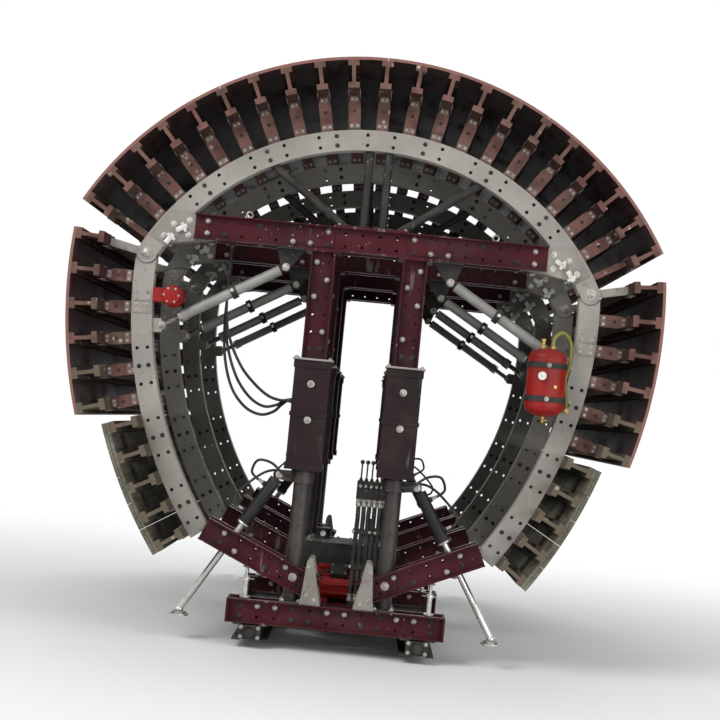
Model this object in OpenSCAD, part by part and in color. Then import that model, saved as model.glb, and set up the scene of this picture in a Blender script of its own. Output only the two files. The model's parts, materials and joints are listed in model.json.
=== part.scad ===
// Tunnel formwork carriage: a folding shutter for a cast-in-place tunnel lining.
// Timber girders and a plywood skin stand on curved steel ring walers, and a steel gantry on rail wheels
// carries them. X runs across the tunnel, Y along it and Z up. The origin is on the ground plane, midway.

/* [Carriage length] */
// Number of ring frames along the tunnel
frame_count = 4; // [4:1:7]
// Distance from one ring frame to the next
frame_pitch = 1500; // [1200:50:1800]
// How far the girders and the skin run past the end frames
overhang = 330; // [200:10:450]

/* [Crown] */
// Outer radius of the crown ring waler
ring_r = 1900; // [1850:10:1950]
// Height of the crown arc's centre above the ground
crown_z = 1900; // [1880:10:1960]
// Half angle of the crown arc, from the top to the side hinge
crown_half = 62; // [61:0.5:63]
// Radial depth of every ring waler
ring_depth = 150; // [130:5:160]
// Width of a ring waler along the tunnel
ring_w = 110; // [100:2:112]
// Gap between the two channels of a ring waler
ring_gap = 20; // [10:2:30]
// Plate thickness of the ring walers
ring_plate = 8; // [6:1:12]
// Radius of the holes in the ring walers' webs
ring_hole_r = 13; // [9:0.5:16]

/* [Sides] */
// Centre line radius of a side ring waler
side_r = 3000; // [2900:20:3100]
// Lean of a side ring at its hinge, folded in
side_lean = 3.7; // [3:0.1:4.4]
// Sweep of a side ring from its hinge to its foot
side_sweep = 40.2; // [38:0.2:41]

/* [Timber] */
// Height of a timber girder
girder_h = 200; // [160:5:220]
// Width of a girder's flanges
flange_w = 80; // [65:1:90]
// Thickness of a girder's flanges
flange_t = 40; // [30:1:48]
// Thickness of a girder's web
web_t = 27; // [20:1:35]
// Girders on the crown
crown_girders = 21; // [15:2:21]
// Half angle from the top to the last crown girder
crown_girder_half = 59.5; // [58:0.5:60]
// Radial height of a spacer block on the crown
crown_block_h = 250; // [220:5:270]
// Radial height of a spacer block on the upper side
side_block_h = 200; // [180:5:210]
// Width of a spacer block at its foot
block_w = 90; // [70:2:100]
// Thickness of the plywood skin
skin_t = 21; // [15:1:27]
// Thickness of the boards on the lower side
board_t = 50; // [30:2:60]
// Boards side by side on the lower side
board_count = 5; // [3:1:8]
// Gap between two sheets of the skin, and between two boards
sheet_gap = 3; // [1:0.5:5]

/* [Gantry] */
// Gap between the two channels of every gantry member
member_gap = 130; // [126:2:140]
// Flange width of the gantry channels
member_flange = 60; // [50:2:75]
// Web thickness of the gantry channels
member_web = 9; // [7:1:12]
// Radius of the holes in the channels' webs
web_hole_r = 11; // [9:0.5:14]
// Distance from one web hole to the next
web_hole_pitch = 125; // [100:5:150]
// Depth of the top beams
top_beam_h = 180; // [160:5:200]
// How far a top beam's end stops short of the crown ring
beam_end_gap = 97; // [60:1:120]
// Height of a top beam's centre below the crown centre, counted upwards
top_beam_rise = 1080; // [1060:5:1090]
// Distance of a post from the middle
post_x = 333; // [300:5:360]
// Width of the upper posts
post_w = 175; // [160:5:190]
// Depth of the base beams
base_beam_h = 170; // [150:5:190]
// Half length of a base beam
base_beam_half = 770; // [740:5:800]
// Width of the post sleeves
sleeve_w = 255; // [245:5:270]
// Length of the post sleeves
sleeve_l = 790; // [700:10:850]
// Outer radius of the telescopic tubes
tube_r = 60; // [55:1:61]
// Wall of the telescopic tubes
tube_wall = 8; // [6:1:12]

/* [Running gear] */
// Depth of the sole beams
sole_h = 120; // [100:5:130]
// Distance of a sole beam from the middle
sole_x = 600; // [580:5:620]
// Outer radius of a wheel's flanges
wheel_flange_r = 120; // [115:1:125]
// Radius of a wheel's tread
wheel_tread_r = 100; // [90:1:108]
// Width of a wheel
wheel_w = 96; // [80:2:104]
// Radius of a wheel's axle pin
axle_r = 25; // [20:1:30]

/* [Spindles and jacks] */
// Outer radius of a swing spindle's barrel
barrel_r = 38; // [30:1:42]
// Radius of a swing spindle's rod
rod_r = 22; // [16:1:26]
// Outer radius of a foot jack's barrel
jack_r = 45; // [36:1:48]
// Radius of a foot jack's rod
jack_rod_r = 24; // [18:1:28]

/* [Fittings] */
// Outer radius of the air receiver
receiver_r = 138; // [110:2:140]
// Overall height of the air receiver
receiver_h = 490; // [420:10:520]
// Outer radius of the skin vibrator
vibrator_r = 75; // [60:1:80]

/* [Hidden] */
$fn = 48;
arc_fn = 240;

// Clearances: a running fit and a seat on a curved face; then the overlap of joined solids and of welds
run = 0.05;
seat = 0.3;
eps = 1;
weld = 0.5;

// Colours as they stand on the machine
timber = [0.42, 0.33, 0.32];
plywood = [0.55, 0.42, 0.40];
board = [0.55, 0.54, 0.48];
ring_grey = [0.74, 0.73, 0.72];
maroon = [0.33, 0.09, 0.13];
galvanised = [0.68, 0.69, 0.68];
dark_steel = [0.12, 0.11, 0.11];
red_paint = [0.62, 0.13, 0.13];
black = [0.05, 0.05, 0.05];

// Places along the tunnel
half_run = (frame_count - 1) * frame_pitch / 2;
half_len = half_run + overhang;
function frame_y(k) = k * frame_pitch - half_run;
wheel_y = half_run - frame_pitch / 2;

function crown_pt(r, a) = [r * sin(a), r * cos(a)];

// The hinge between crown and side lies on the crown ring's centre line
ring_mid = ring_r - ring_depth / 2;
ring_in = ring_r - ring_depth;
hinge_x = ring_mid * sin(crown_half);
hinge_z = crown_z + ring_mid * cos(crown_half);
hinge_pin_r = 20;
crown_ear_r = 73;
crown_neck = 70;
side_ear_r = 64;
side_neck = 58;
hinge_clear_r = 80;
ear_t = 12;
// Centre of the left side arc, from which the side's angles count down from the level line
side_cx = side_r * cos(side_lean) - hinge_x;
side_cz = hinge_z - side_r * sin(side_lean);
side_out = side_r + ring_depth / 2;
side_in = side_r - ring_depth / 2;
side_end = side_sweep - side_lean;
function side_pt(r, a) = [side_cx - r * cos(a), side_cz - r * sin(a)];

// Girders: [first angle, pitch, count] on the upper and the lower side
upper_first = -4.4;
upper_pitch = 4.15;
upper_count = 6;
lower_first = 19.4;
lower_pitch = 3.95;
lower_count = 5;
crown_pitch = 2 * crown_girder_half / (crown_girders - 1);
crown_seat = ring_r + crown_block_h;
crown_head_r = crown_seat + girder_h;
side_seat = side_out + side_block_h;
side_head_r = side_seat + girder_h;
board_head_r = side_out + seat + girder_h;
sheet_bays = 5;
// A skin clears the corners of the girders' flat heads
function skin_in(head_r) = norm([head_r, flange_w / 2]) + seat;
function skin_edge(head_r) = asin(flange_w / 2 / skin_in(head_r));
block_top_w = flange_w - 20;
block_len = 110;
block_chamfer = 60;

// The horn on a side ring's ears reaches from the hinge to the first girder's foot and ends square with it
horn_half = 28;
horn_end = side_pt(side_seat - seat, upper_first);
horn_root = [-hinge_x, hinge_z];
horn_a = atan2(horn_end[1] - horn_root[1], horn_end[0] - horn_root[0]);
horn_foot_side = horn_half * [sin(upper_first), -cos(upper_first)];
horn_root_side = horn_half * [-sin(horn_a), cos(horn_a)];

// Heights of the gantry
member_w = member_gap + 2 * member_flange;
member_flange_t = 10;
tie_t = 12;
tie_trim = 20;
web_hole_edge = 45;
web_hole_end = 60;
strut_plate = [540, 12];
top_beam_z = crown_z + top_beam_rise;
top_beam_half = sqrt(pow(ring_in, 2) - pow(top_beam_rise, 2)) - beam_end_gap;
top_beam_top = top_beam_z + top_beam_h / 2;
top_beam_foot = top_beam_z - top_beam_h / 2;
base_beam_foot = 175;
base_beam_top = base_beam_foot + base_beam_h;
base_beam_z = base_beam_foot + base_beam_h / 2;
sleeve_foot = 1300;
sleeve_top = sleeve_foot + sleeve_l;
sleeve_wall = 10;
guide_t = 20;
post_foot = sleeve_top;
tube_top = 1850;
foot_plate_t = 15;

// V braces run from the base beam outwards and up, one on each side of a frame
brace_in = [155, 450];
brace_out = [1000, 820];
brace_h = 170;
brace_run = brace_out - brace_in;
brace_l = norm(brace_run);
brace_a = atan2(brace_run[1], brace_run[0]);
function brace_z(x) = brace_in[1] + (x - brace_in[0]) * brace_run[1] / brace_run[0];
brace_pin_r = 15;

// Foot jacks hang from the tubes' collars and pass between the brace channels
jack_top = [500, 1250];
jack_foot = [1130, 215];
jack_dir = (jack_foot - jack_top) / norm(jack_foot - jack_top);
jack_len = norm(jack_foot - jack_top);
jack_a = atan2(jack_dir[1], jack_dir[0]);
jack_barrel_l = 430;
jack_rod_in = 320;
jack_eye_r = 34;
jack_pin_r = 15;
jack_foot_r = 70;
jack_foot_t = 15;
collar_r = 85;
collar_foot = 1205;
collar_top = 1285;
lug_t = 12;
lug_gap = 46;

// Swing spindles: gantry eye, ring lug, and the piece lengths between them
spindle_drop = 140;
spindle_a = [600, top_beam_foot - spindle_drop];
lug_angle = 6.4;
lug_reach = 65;
lug_pt = side_pt(side_in - lug_reach, lug_angle);
spindle_p = [-lug_pt[0], lug_pt[1]];
spindle_run = spindle_p - spindle_a;
spindle_l = norm(spindle_run);
spindle_dir_a = atan2(spindle_run[1], spindle_run[0]);
spindle_eye_r = 32;
spindle_eye_w = 32;
spindle_pin_r = 15;
lug_pin_r = 12;
rod_eye_bore = 19;
barrel_l = spindle_l - 160;
rod_in = 420;

// Sole beams, wheels and their pins
sole_foot = base_beam_foot - sole_h;
sole_z = sole_foot + sole_h / 2;
sole_len = 2 * half_run + member_w;
axle_z = wheel_flange_r;
wheel_tie = 250;
sole_tie = 60;
washer_r = 40;
wheel_hub_r = 46;

// Power pack between the first two frames
pack_y = frame_y(0) + frame_pitch / 2;
pack_half = 560;
pack_beam_h = 80;
pack_rail_h = 50;
pack_rail_x = 250;
pack_cross_ys = [-430, -175, 175, 430];
pack_floor = base_beam_foot + pack_beam_h + pack_rail_h;
tank_w = 640;
tank_d = 620;
tank_h = 420;
motor_r = 120;
motor_l = 330;

// The vibrator hangs beside the first left ring's inner edge
vibrator_gap = 70;
vibrator_at = side_pt(side_in - vibrator_r - vibrator_gap, 2.1);

// The receiver stands beside the first right ring's inner edge, clear of the spindle's lug
receiver_at = 9.4;
receiver_x = -side_pt(side_in, receiver_at)[0] - receiver_r - 30;
receiver_y = frame_y(0) - lug_gap / 2 - lug_t - 10 - receiver_r;
receiver_z = crown_z + 190;

// Points of the hose routes and the cables, chosen by hand
hose_r = 17;
valve_y = frame_y(0) + member_w / 2 + 100;
valve_x = 210;
valve_z = 1120;
valve_h = 130;
hose_y = valve_y - 20;
hose_count = 7;
hose_pitch = 40;
hose_xs = [for (i = [0:hose_count - 1]) valve_x + (i - (hose_count - 1) / 2) * hose_pitch];
valve_half = hose_count * hose_pitch / 2 + 5;
cable_r = 11;
cable_x = -1020;
cable_y = frame_y(0) + member_w / 2 + cable_r + 4;
cable_pitch = 2 * cable_r + 6;
cable_end = [-post_x - sleeve_w / 2 - 4, 1790];
cable_routes = [
    [[-1020, 2700], [-1015, 2400], [-970, 2200], [-870, 2010], [-760, 1890], [-650, 1810], [-560, 1785]],
    [[-1020, 2700], [-1020, 2380], [-985, 2150], [-900, 1930], [-790, 1790], [-680, 1730],
     [-590, 1745], [-540, 1775]],
    [[-1020, 2700], [-1025, 2340], [-1000, 2070], [-930, 1850], [-820, 1715], [-700, 1667],
     [-605, 1695], [-550, 1750]],
];

module mirrored_x() { children(); mirror([1, 0, 0]) children(); }
module each_frame() { for (k = [0:frame_count - 1]) translate([0, frame_y(k), 0]) children(); }

// A flat profile in the XZ plane, thickened along Y and centred there
module slab(t) { rotate([90, 0, 0]) linear_extrude(t, center = true) children(); }

// A profile of radius (x) and width (y) swept about the Y axis from one angle to another
module sweep_y(from, to) {
    rotate([90, 0, 0]) rotate([0, 0, from]) rotate_extrude(angle = to - from, $fn = arc_fn) children();
}

// One channel's outline, web on the line x = 0 and flanges running to +x, centred on y
module channel_2d(depth, flange, web, flange_thick) {
    difference() {
        translate([0, -depth / 2]) square([flange, depth]);
        translate([web, -depth / 2 + flange_thick]) square([flange, depth - 2 * flange_thick]);
    }
}

// A pair of channels back to back along X, with rows of holes in their webs at the signs in rows
module channel_pair(len, depth, rows = [-1, 1]) {
    n = floor((len / 2 - web_hole_end) / web_hole_pitch + 0.5);
    difference() {
        for (s = [-1, 1])
            rotate([0, 0, s > 0 ? 0 : 180]) translate([-len / 2, member_gap / 2, 0])
                rotate([90, 0, 90]) linear_extrude(len)
                    channel_2d(depth, member_flange, member_web, member_flange_t);
        for (i = [-n:n - 1], s = rows)
            translate([(i + 0.5) * web_hole_pitch, 0, s * (depth / 2 - web_hole_edge)]) rotate([90, 0, 0])
                cylinder(r = web_hole_r, h = member_gap + 4 * member_web, center = true, $fn = 24);
    }
}

// Tie plates across the gap of such a pair, at the places in xs
module pair_ties(depth, xs) {
    for (x = xs)
        translate([x - tie_t / 2, -member_gap / 2, -depth / 2 + tie_trim])
            cube([tie_t, member_gap, depth - 2 * tie_trim]);
}

// The outline of a timber girder, standing on y = 0
module girder_2d() {
    bevel = 4;
    for (y = [0, girder_h - flange_t])
        translate([-flange_w / 2, y]) square([flange_w, flange_t]);
    translate([-web_t / 2, flange_t - eps]) square([web_t, girder_h - 2 * flange_t + 2 * eps]);
    for (s = [-1, 1])
        polygon([[s * web_t / 2, flange_t - eps], [s * (web_t / 2 + bevel * 3), flange_t - eps],
                 [s * web_t / 2, flange_t + bevel]]);
}
module girder() { rotate([90, 0, 0]) linear_extrude(2 * half_len, center = true) girder_2d(); }

// A spacer block with chamfered shoulders, from x = from to x = to at its foot
module block(height, from, to) {
    top = block_top_w / 2;
    slab(block_len)
        polygon([[from, 0], [to, 0], [to, height - block_chamfer], [min(to, top), height - seat],
                 [max(from, -top), height - seat], [from, height - block_chamfer]]);
}

// The two channels of a ring waler, webs outwards, between two angles
module ring_waler(r_mid, from, to) {
    w = (ring_w - ring_gap) / 2;
    sweep_y(from, to)
        for (s = [-1, 1])
            translate([r_mid, 0]) scale([1, s])
                difference() {
                    translate([-ring_depth / 2, ring_gap / 2]) square([ring_depth, w]);
                    translate([-ring_depth / 2 + ring_plate, ring_gap / 2 - eps])
                        square([ring_depth - 2 * ring_plate, w - ring_plate + eps]);
                }
}

// Pairs of holes through both webs of a ring, at the angles in at
module ring_holes(r_mid, at) {
    for (a = at, s = [-1, 1])
        rotate([0, -a, 0]) translate([r_mid + s * ring_depth / 4, 0, 0]) rotate([90, 0, 0])
            cylinder(r = ring_hole_r, h = 2 * ring_w, center = true, $fn = 24);
}

// A spacer bar between the two channels of a ring, at one angle
module ring_spacer(r_mid, at) {
    rotate([0, -at, 0]) translate([r_mid, 0, 0])
        cube([ring_depth - 30, ring_w - 2 * ring_plate + 2, 30], center = true);
}

module base_beams() {
    color(maroon) each_frame() translate([0, 0, base_beam_z]) channel_pair(2 * base_beam_half, base_beam_h);
}

// Ties and end plates of the channels in the carriage
module base_ties() {
    color(maroon) {
        each_frame() {
            translate([0, 0, base_beam_z])
                pair_ties(base_beam_h, web_hole_pitch * [-5, -1, 1, 5]);
            for (s = [-1, 1])
                translate([s * (base_beam_half + foot_plate_t / 2), 0, base_beam_z])
                    difference() {
                        cube([foot_plate_t, member_w, base_beam_h], center = true);
                        for (y = [-85, 85], z = [-55, 55])
                            translate([0, y, z]) rotate([0, 90, 0])
                                cylinder(r = 11, h = 2 * foot_plate_t, center = true, $fn = 32);
                    }
            mirrored_x() on_brace() pair_ties(brace_h, [-3 * web_hole_pitch, 0]);
        }
        mirrored_x() translate([sole_x, 0, sole_z]) rotate([0, 0, 90])
            pair_ties(sole_h, [-sole_len / 2 + sole_tie, -wheel_y - wheel_tie, -wheel_y + wheel_tie, 0,
                               wheel_y - wheel_tie, wheel_y + wheel_tie, sole_len / 2 - sole_tie]);
    }
}

module sole_beams() {
    color(dark_steel) mirrored_x() translate([sole_x, 0, sole_z])
        difference() {
            rotate([0, 0, 90]) channel_pair(sole_len, sole_h, []);
            for (s = [-1, 1])
                translate([0, s * wheel_y, axle_z - sole_z]) rotate([0, 90, 0])
                    cylinder(r = axle_r + run, h = 2 * member_w, center = true);
        }
}

// Telescopic tubes with their foot plates, and on the end frames the collar that carries the foot jack
module telescopic_tubes() {
    color(galvanised) for (k = [0:frame_count - 1])
        translate([0, frame_y(k), 0]) mirrored_x() {
            difference() {
                union() {
                    translate([post_x, 0, base_beam_top]) cylinder(r = tube_r, h = tube_top - base_beam_top);
                    translate([post_x - 80, -member_w / 2, base_beam_top])
                        cube([160, member_w, foot_plate_t]);
                    if (k == 0 || k == frame_count - 1) {
                        translate([post_x, 0, collar_foot])
                            cylinder(r = collar_r, h = collar_top - collar_foot);
                        for (s = [-1, 1])
                            translate([0, s * (lug_gap + lug_t) / 2, 0]) slab(lug_t) {
                                polygon([[post_x + tube_r, collar_foot], jack_top - [0, jack_eye_r],
                                         jack_top + [0, jack_eye_r], [post_x + tube_r, collar_top]]);
                                translate(jack_top) circle(r = jack_eye_r);
                            }
                        translate([jack_top[0], 0, jack_top[1]]) rotate([90, 0, 0])
                            cylinder(r = jack_pin_r, h = lug_gap + 2 * lug_t + 16, center = true);
                    }
                }
                translate([post_x, 0, base_beam_top - eps]) cylinder(r = tube_r - tube_wall, h = tube_top);
                translate([post_x, 0, brace_z(post_x)]) rotate([90, 0, 0])
                    cylinder(r = brace_pin_r + run, h = 2 * member_w, center = true);
            }
        }
}

// Places on a brace, counted from its middle
module on_brace() {
    translate([brace_in[0], 0, brace_in[1]]) rotate([0, -brace_a, 0])
        translate([brace_l / 2, 0, 0]) children();
}

module brace_struts() {
    color(maroon) each_frame() mirrored_x()
        difference() {
            on_brace() channel_pair(brace_l, brace_h);
            translate([post_x, 0, brace_z(post_x)]) rotate([90, 0, 0])
                cylinder(r = brace_pin_r + run, h = 2 * member_w, center = true);
            translate([brace_in[0] + 30, 0, brace_z(brace_in[0] + 30)]) rotate([90, 0, 0])
                cylinder(r = brace_pin_r + run, h = 2 * member_w, center = true);
        }
}

// Bright brackets that hold the inner ends of the braces on the base beam
module brace_brackets() {
    x = brace_in[0] + 30;
    color(galvanised) each_frame() mirrored_x() for (s = [-1, 1])
        translate([0, s * (member_gap / 2 - 6 - seat), 0]) slab(12)
            difference() {
                union() {
                    polygon([[x - 70, base_beam_top], [x + 45, base_beam_top], [x + 34, brace_z(x)],
                             [x - 34, brace_z(x)]]);
                    translate([x, brace_z(x)]) circle(r = 34);
                }
                translate([x, brace_z(x)]) circle(r = brace_pin_r + run);
            }
}

module gantry_pins() {
    color(galvanised) each_frame() mirrored_x() for (x = [brace_in[0] + 30, post_x])
        translate([x, 0, brace_z(x)]) rotate([90, 0, 0])
            cylinder(r = brace_pin_r, h = member_gap + 50, center = true);
}

// A barrel along +X from its eye, open at the far end for its rod
module barrel(len, r, bore_r, eye_r, eye_w, pin_r) {
    difference() {
        union() {
            rotate([90, 0, 0]) cylinder(r = eye_r, h = eye_w, center = true);
            translate([eye_r * 0.6, 0, 0]) rotate([0, 90, 0]) cylinder(r = min(r, eye_w / 2), h = eye_r);
            translate([eye_r + 10, 0, 0]) rotate([0, 90, 0]) cylinder(r = r, h = len - eye_r - 10);
            translate([len - 40, 0, 0]) rotate([0, 90, 0]) cylinder(r = r + 6, h = 40);
        }
        rotate([90, 0, 0]) cylinder(r = pin_r + run, h = 2 * r + 4 * eye_w, center = true);
        translate([eye_r + 40, 0, 0]) rotate([0, 90, 0]) cylinder(r = bore_r, h = len);
    }
}

// A jack piece placed along its line from the collar's lug, in frame k on the side s = -1 or 1
module on_jack(k, s) {
    translate([s * jack_top[0], frame_y(k), jack_top[1]])
        rotate([0, s > 0 ? -jack_a : jack_a - 180, 0]) children();
}

module jack_barrels() {
    color(black) for (k = [0, frame_count - 1], s = [-1, 1]) on_jack(k, s)
        barrel(jack_barrel_l, jack_r, jack_rod_r + run, jack_eye_r, lug_gap - 6, jack_pin_r);
}

// A foot jack's rod with its ball and its flat foot, level with the ground
module jack_rod(k, s) {
    ball_r = jack_rod_r + 6;
    color(galvanised) {
        on_jack(k, s) translate([jack_barrel_l - jack_rod_in, 0, 0]) rotate([0, 90, 0])
            cylinder(r = jack_rod_r, h = jack_len - jack_barrel_l + jack_rod_in);
        translate([s * jack_foot[0], frame_y(k), jack_foot[1]]) {
            sphere(r = ball_r);
            translate([0, 0, 4 - ball_r - jack_foot_t]) cylinder(r = jack_foot_r, h = jack_foot_t);
        }
    }
}
module jack_near_left() { jack_rod(0, -1); }
module jack_near_right() { jack_rod(0, 1); }
module jack_far_left() { jack_rod(frame_count - 1, -1); }
module jack_far_right() { jack_rod(frame_count - 1, 1); }

// Pins with washers on both sides of each wheel
module axle_pins() {
    washer_l = (member_gap - wheel_w) / 2 - 2;
    color(galvanised) for (s = [-1, 1], y = [-wheel_y, wheel_y])
        translate([s * sole_x, y, axle_z]) rotate([0, 90, 0]) {
            cylinder(r = axle_r, h = member_gap + 2 * member_web + 40, center = true);
            for (m = [0, 1]) mirror([0, 0, m]) translate([0, 0, wheel_w / 2 + 1])
                cylinder(r = washer_r, h = washer_l);
        }
}

// A double flanged rail wheel about the X axis
module wheel(x, y) {
    h = wheel_w / 2;
    lip = 14;
    web_half = 16;
    color(dark_steel) translate([x, y, axle_z]) rotate([0, 90, 0]) rotate_extrude($fn = 96)
        polygon([[axle_r + run, -h], [wheel_hub_r, -h],
                 [wheel_hub_r, -web_half], [wheel_tread_r - 22, -web_half],
                 [wheel_tread_r - 22, -h + 4], [wheel_flange_r - 6, -h + 4], [wheel_flange_r, -h + 10],
                 [wheel_flange_r, -h + lip], [wheel_tread_r, -h + lip + 8], [wheel_tread_r, h - lip - 8],
                 [wheel_flange_r, h - lip], [wheel_flange_r, h - 10], [wheel_flange_r - 6, h - 4],
                 [wheel_tread_r - 22, h - 4], [wheel_tread_r - 22, web_half], [wheel_hub_r, web_half],
                 [wheel_hub_r, h], [axle_r + run, h]]);
}
module wheel_near_left() { wheel(-sole_x, -wheel_y); }
module wheel_near_right() { wheel(sole_x, -wheel_y); }
module wheel_far_left() { wheel(-sole_x, wheel_y); }
module wheel_far_right() { wheel(sole_x, wheel_y); }

// Cross channels on the sole beams, clear of the wheels, and two rails on them
module pack_frame() {
    reach = sole_x + member_w / 2 - 65;
    color(dark_steel) {
        for (y = pack_cross_ys)
            translate([-reach, pack_y + y - 30, base_beam_foot]) cube([2 * reach, 60, pack_beam_h]);
        for (s = [-1, 1])
            translate([s * pack_rail_x - 25, pack_y - pack_half, base_beam_foot + pack_beam_h - eps])
                cube([50, 2 * pack_half, pack_rail_h + eps]);
    }
}

module rounded_box(size, r) {
    translate([0, 0, size[2] / 2]) linear_extrude(size[2], center = true)
        union() {
            square([size[0] - 2 * r, size[1]], center = true);
            square([size[0], size[1] - 2 * r], center = true);
            for (x = [-1, 1], y = [-1, 1])
                translate([x * (size[0] / 2 - r), y * (size[1] / 2 - r)]) circle(r = r, $fn = 32);
        }
}

module pack_tank() {
    color(dark_steel) translate([0, pack_y + 170, pack_floor]) {
        rounded_box([tank_w, tank_d, tank_h], 40);
        translate([0, 0, tank_h - eps]) rounded_box([tank_w - 60, tank_d - 60, 16], 20);
        translate([200, 200, tank_h]) cylinder(r = 45, h = 70);
    }
}

// An electric motor lying across the rails on its bed plate, with cooling ribs and the pump on its shaft
module pack_motor() {
    bed_t = 12;
    foot_h = 40;
    z = bed_t + foot_h + motor_r - 12;
    color(red_paint) translate([0, pack_y - 325, pack_floor]) {
        translate([-pack_rail_x - 30, -120, 0]) cube([2 * pack_rail_x + 60, 240, bed_t]);
        for (s = [-1, 1]) translate([s * 105 - 25, -100, bed_t - eps]) cube([50, 200, foot_h]);
        translate([-30, 0, z]) {
            rotate([0, 90, 0]) cylinder(r = motor_r, h = motor_l, center = true);
            for (a = [-120:30:120]) rotate([a, 0, 0])
                translate([-motor_l / 2 + 30, -5, motor_r - 8]) cube([motor_l - 60, 10, 26]);
            translate([motor_l / 2 - eps, 0, 0]) rotate([0, 90, 0]) cylinder(r = 60, h = 110);
        }
    }
}

// The stand of the hand valves: two posts, a manifold at the foot, a bank of valve blocks and its levers
module valve_stand() {
    color(dark_steel) {
        translate([valve_x - valve_half + 10, hose_y - 25, pack_floor]) cube([2 * valve_half - 20, 90, 60]);
        for (s = [-1, 1])
            translate([valve_x + s * (valve_half - 25) - 15, valve_y + 15, pack_floor])
                cube([30, 30, valve_z - pack_floor + eps]);
        translate([valve_x - valve_half, valve_y - 45, valve_z]) cube([2 * valve_half, 90, valve_h]);
        for (x = hose_xs) translate([x, valve_y, valve_z + valve_h - eps]) cylinder(r = 6, h = 130, $fn = 24);
    }
}

// A round bar or hose swept along points: rings of sides set square to the run
function unit(v) = v / norm(v);
function run_at(p, i) = unit(p[min(i + 1, len(p) - 1)] - p[max(i - 1, 0)]);
function ring_pts(c, d, r, n, up) =
    let (a = unit(cross(d, up)), b = cross(a, d))
    [for (j = [0:n - 1]) c + r * (a * cos(j * 360 / n) + b * sin(j * 360 / n))];
module swept(p, r, n, up) {
    m = len(p);
    pts = [for (i = [0:m - 1]) each ring_pts(p[i], run_at(p, i), r, n, up)];
    polyhedron(pts, concat(
        [[for (j = [n - 1:-1:0]) j]],
        [for (i = [0:m - 2], j = [0:n - 1], k = [(j + 1) % n])
            [i * n + j, i * n + k, (i + 1) * n + k, (i + 1) * n + j]],
        [[for (j = [0:n - 1]) (m - 1) * n + j]]));
}

// Straight drops of hydraulic hose from the valves to the manifold
module supply_hoses() {
    color(black) for (x = hose_xs) translate([x, hose_y, pack_floor + 60 + seat])
        cylinder(r = hose_r, h = valve_z - pack_floor - 60 - 2 * seat, $fn = 24);
}

module top_beams() {
    color(maroon) {
        each_frame() translate([0, 0, top_beam_z]) channel_pair(2 * top_beam_half, top_beam_h);
        // Clip of the trailing cables
        translate([cable_x - 20, cable_y - cable_r - 6, top_beam_foot])
            cube([40, 2 * cable_r + 12 + (len(cable_routes) - 1) * cable_pitch, 30]);
    }
}

// Ties of the channels on the crown, and the plates on the top beams that the struts stand on
module crown_ties() {
    color(maroon) each_frame() {
        translate([0, 0, top_beam_z])
            pair_ties(top_beam_h, web_hole_pitch * [-6, -1, 1, 6]);
        translate([-strut_plate[0] / 2, -member_w / 2, top_beam_top])
            cube([strut_plate[0], member_w, strut_plate[1]]);
        mirrored_x() on_post() pair_ties(post_w, [-3 * web_hole_pitch]);
    }
}

// Bright plates that tie a top beam's ends to the crown ring
module beam_brackets() {
    plate_t = (member_gap - ring_w) / 2 - 2 * seat;
    root = top_beam_half - 150;
    color(galvanised) each_frame() mirrored_x() for (s = [-1, 1])
        translate([0, s * (member_gap + ring_w) / 4, crown_z]) slab(plate_t)
            polygon([[root, top_beam_rise - 80], crown_pt(ring_in + 10, 58), crown_pt(ring_r - 20, 58),
                     crown_pt(ring_r - 20, 51), crown_pt(ring_in + 10, 48), [root, top_beam_rise + 80]]);
}

// Places on an upper post, counted downwards from its middle
module on_post() {
    translate([post_x, 0, (post_foot + top_beam_foot) / 2]) rotate([0, 90, 0]) children();
}

module upper_posts() {
    color(maroon) each_frame() mirrored_x() on_post() channel_pair(top_beam_foot - post_foot, post_w);
}

module post_sleeves() {
    color(dark_steel) each_frame() mirrored_x()
        translate([post_x, 0, sleeve_foot]) difference() {
            translate([-sleeve_w / 2, -member_w / 2, 0]) cube([sleeve_w, member_w, sleeve_l]);
            translate([-sleeve_w / 2 + sleeve_wall, -member_w / 2 + sleeve_wall, guide_t])
                cube([sleeve_w - 2 * sleeve_wall, member_w - 2 * sleeve_wall, sleeve_l - 2 * guide_t]);
            translate([0, 0, -eps]) cylinder(r = tube_r + seat, h = sleeve_l - guide_t);
        }
    // Clip of the trailing cables
    color(dark_steel) translate([cable_end[0] - 16, cable_y - 19, cable_end[1] - 20])
        cube([40, 34 + (len(cable_routes) - 1) * cable_pitch, 40]);
}

// A crown ring with its hinge ears on the outer faces
module crown_ring(k) {
    over = 110;
    color(ring_grey) translate([0, frame_y(k), 0]) {
        difference() {
            union() {
                translate([0, 0, crown_z]) {
                    ring_waler(ring_mid, 90 - crown_half, 90 + crown_half);
                    for (a = [10, 26, 42, 58], s = [-1, 1]) ring_spacer(ring_mid, 90 + s * a);
                }
            }
            translate([0, 0, crown_z])
                for (s = [-1, 1]) ring_holes(ring_mid, [for (a = [3, 14, 22, 30, 38, 46, 54]) 90 + s * a]);
            mirrored_x() translate([hinge_x, 0, hinge_z]) rotate([90, 0, 0])
                cylinder(r = hinge_clear_r, h = 2 * ring_w, center = true);
        }
        mirrored_x() for (s = [-1, 1])
            translate([hinge_x, s * ((ring_w + ear_t) / 2 - weld), hinge_z]) slab(ear_t)
                difference() {
                    union() {
                        circle(r = crown_ear_r);
                        rotate(180 - crown_half) translate([0, -crown_neck]) square([over, 2 * crown_neck]);
                    }
                    circle(r = hinge_pin_r + run);
                }
    }
}
module crown_ring_1() { crown_ring(0); }
module crown_ring_2() { crown_ring(1); }
module crown_ring_3() { crown_ring(2); }
module crown_ring_4() { for (k = [3:frame_count - 1]) crown_ring(k); }

// Places on the crown, by the angle from the top
module on_crown(at) { translate([0, 0, crown_z]) rotate([0, at, 0]) children(); }

module crown_girders() {
    color(timber) for (i = [0:crown_girders - 1])
        on_crown(-crown_girder_half + i * crown_pitch) translate([0, 0, crown_seat]) girder();
}

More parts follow.
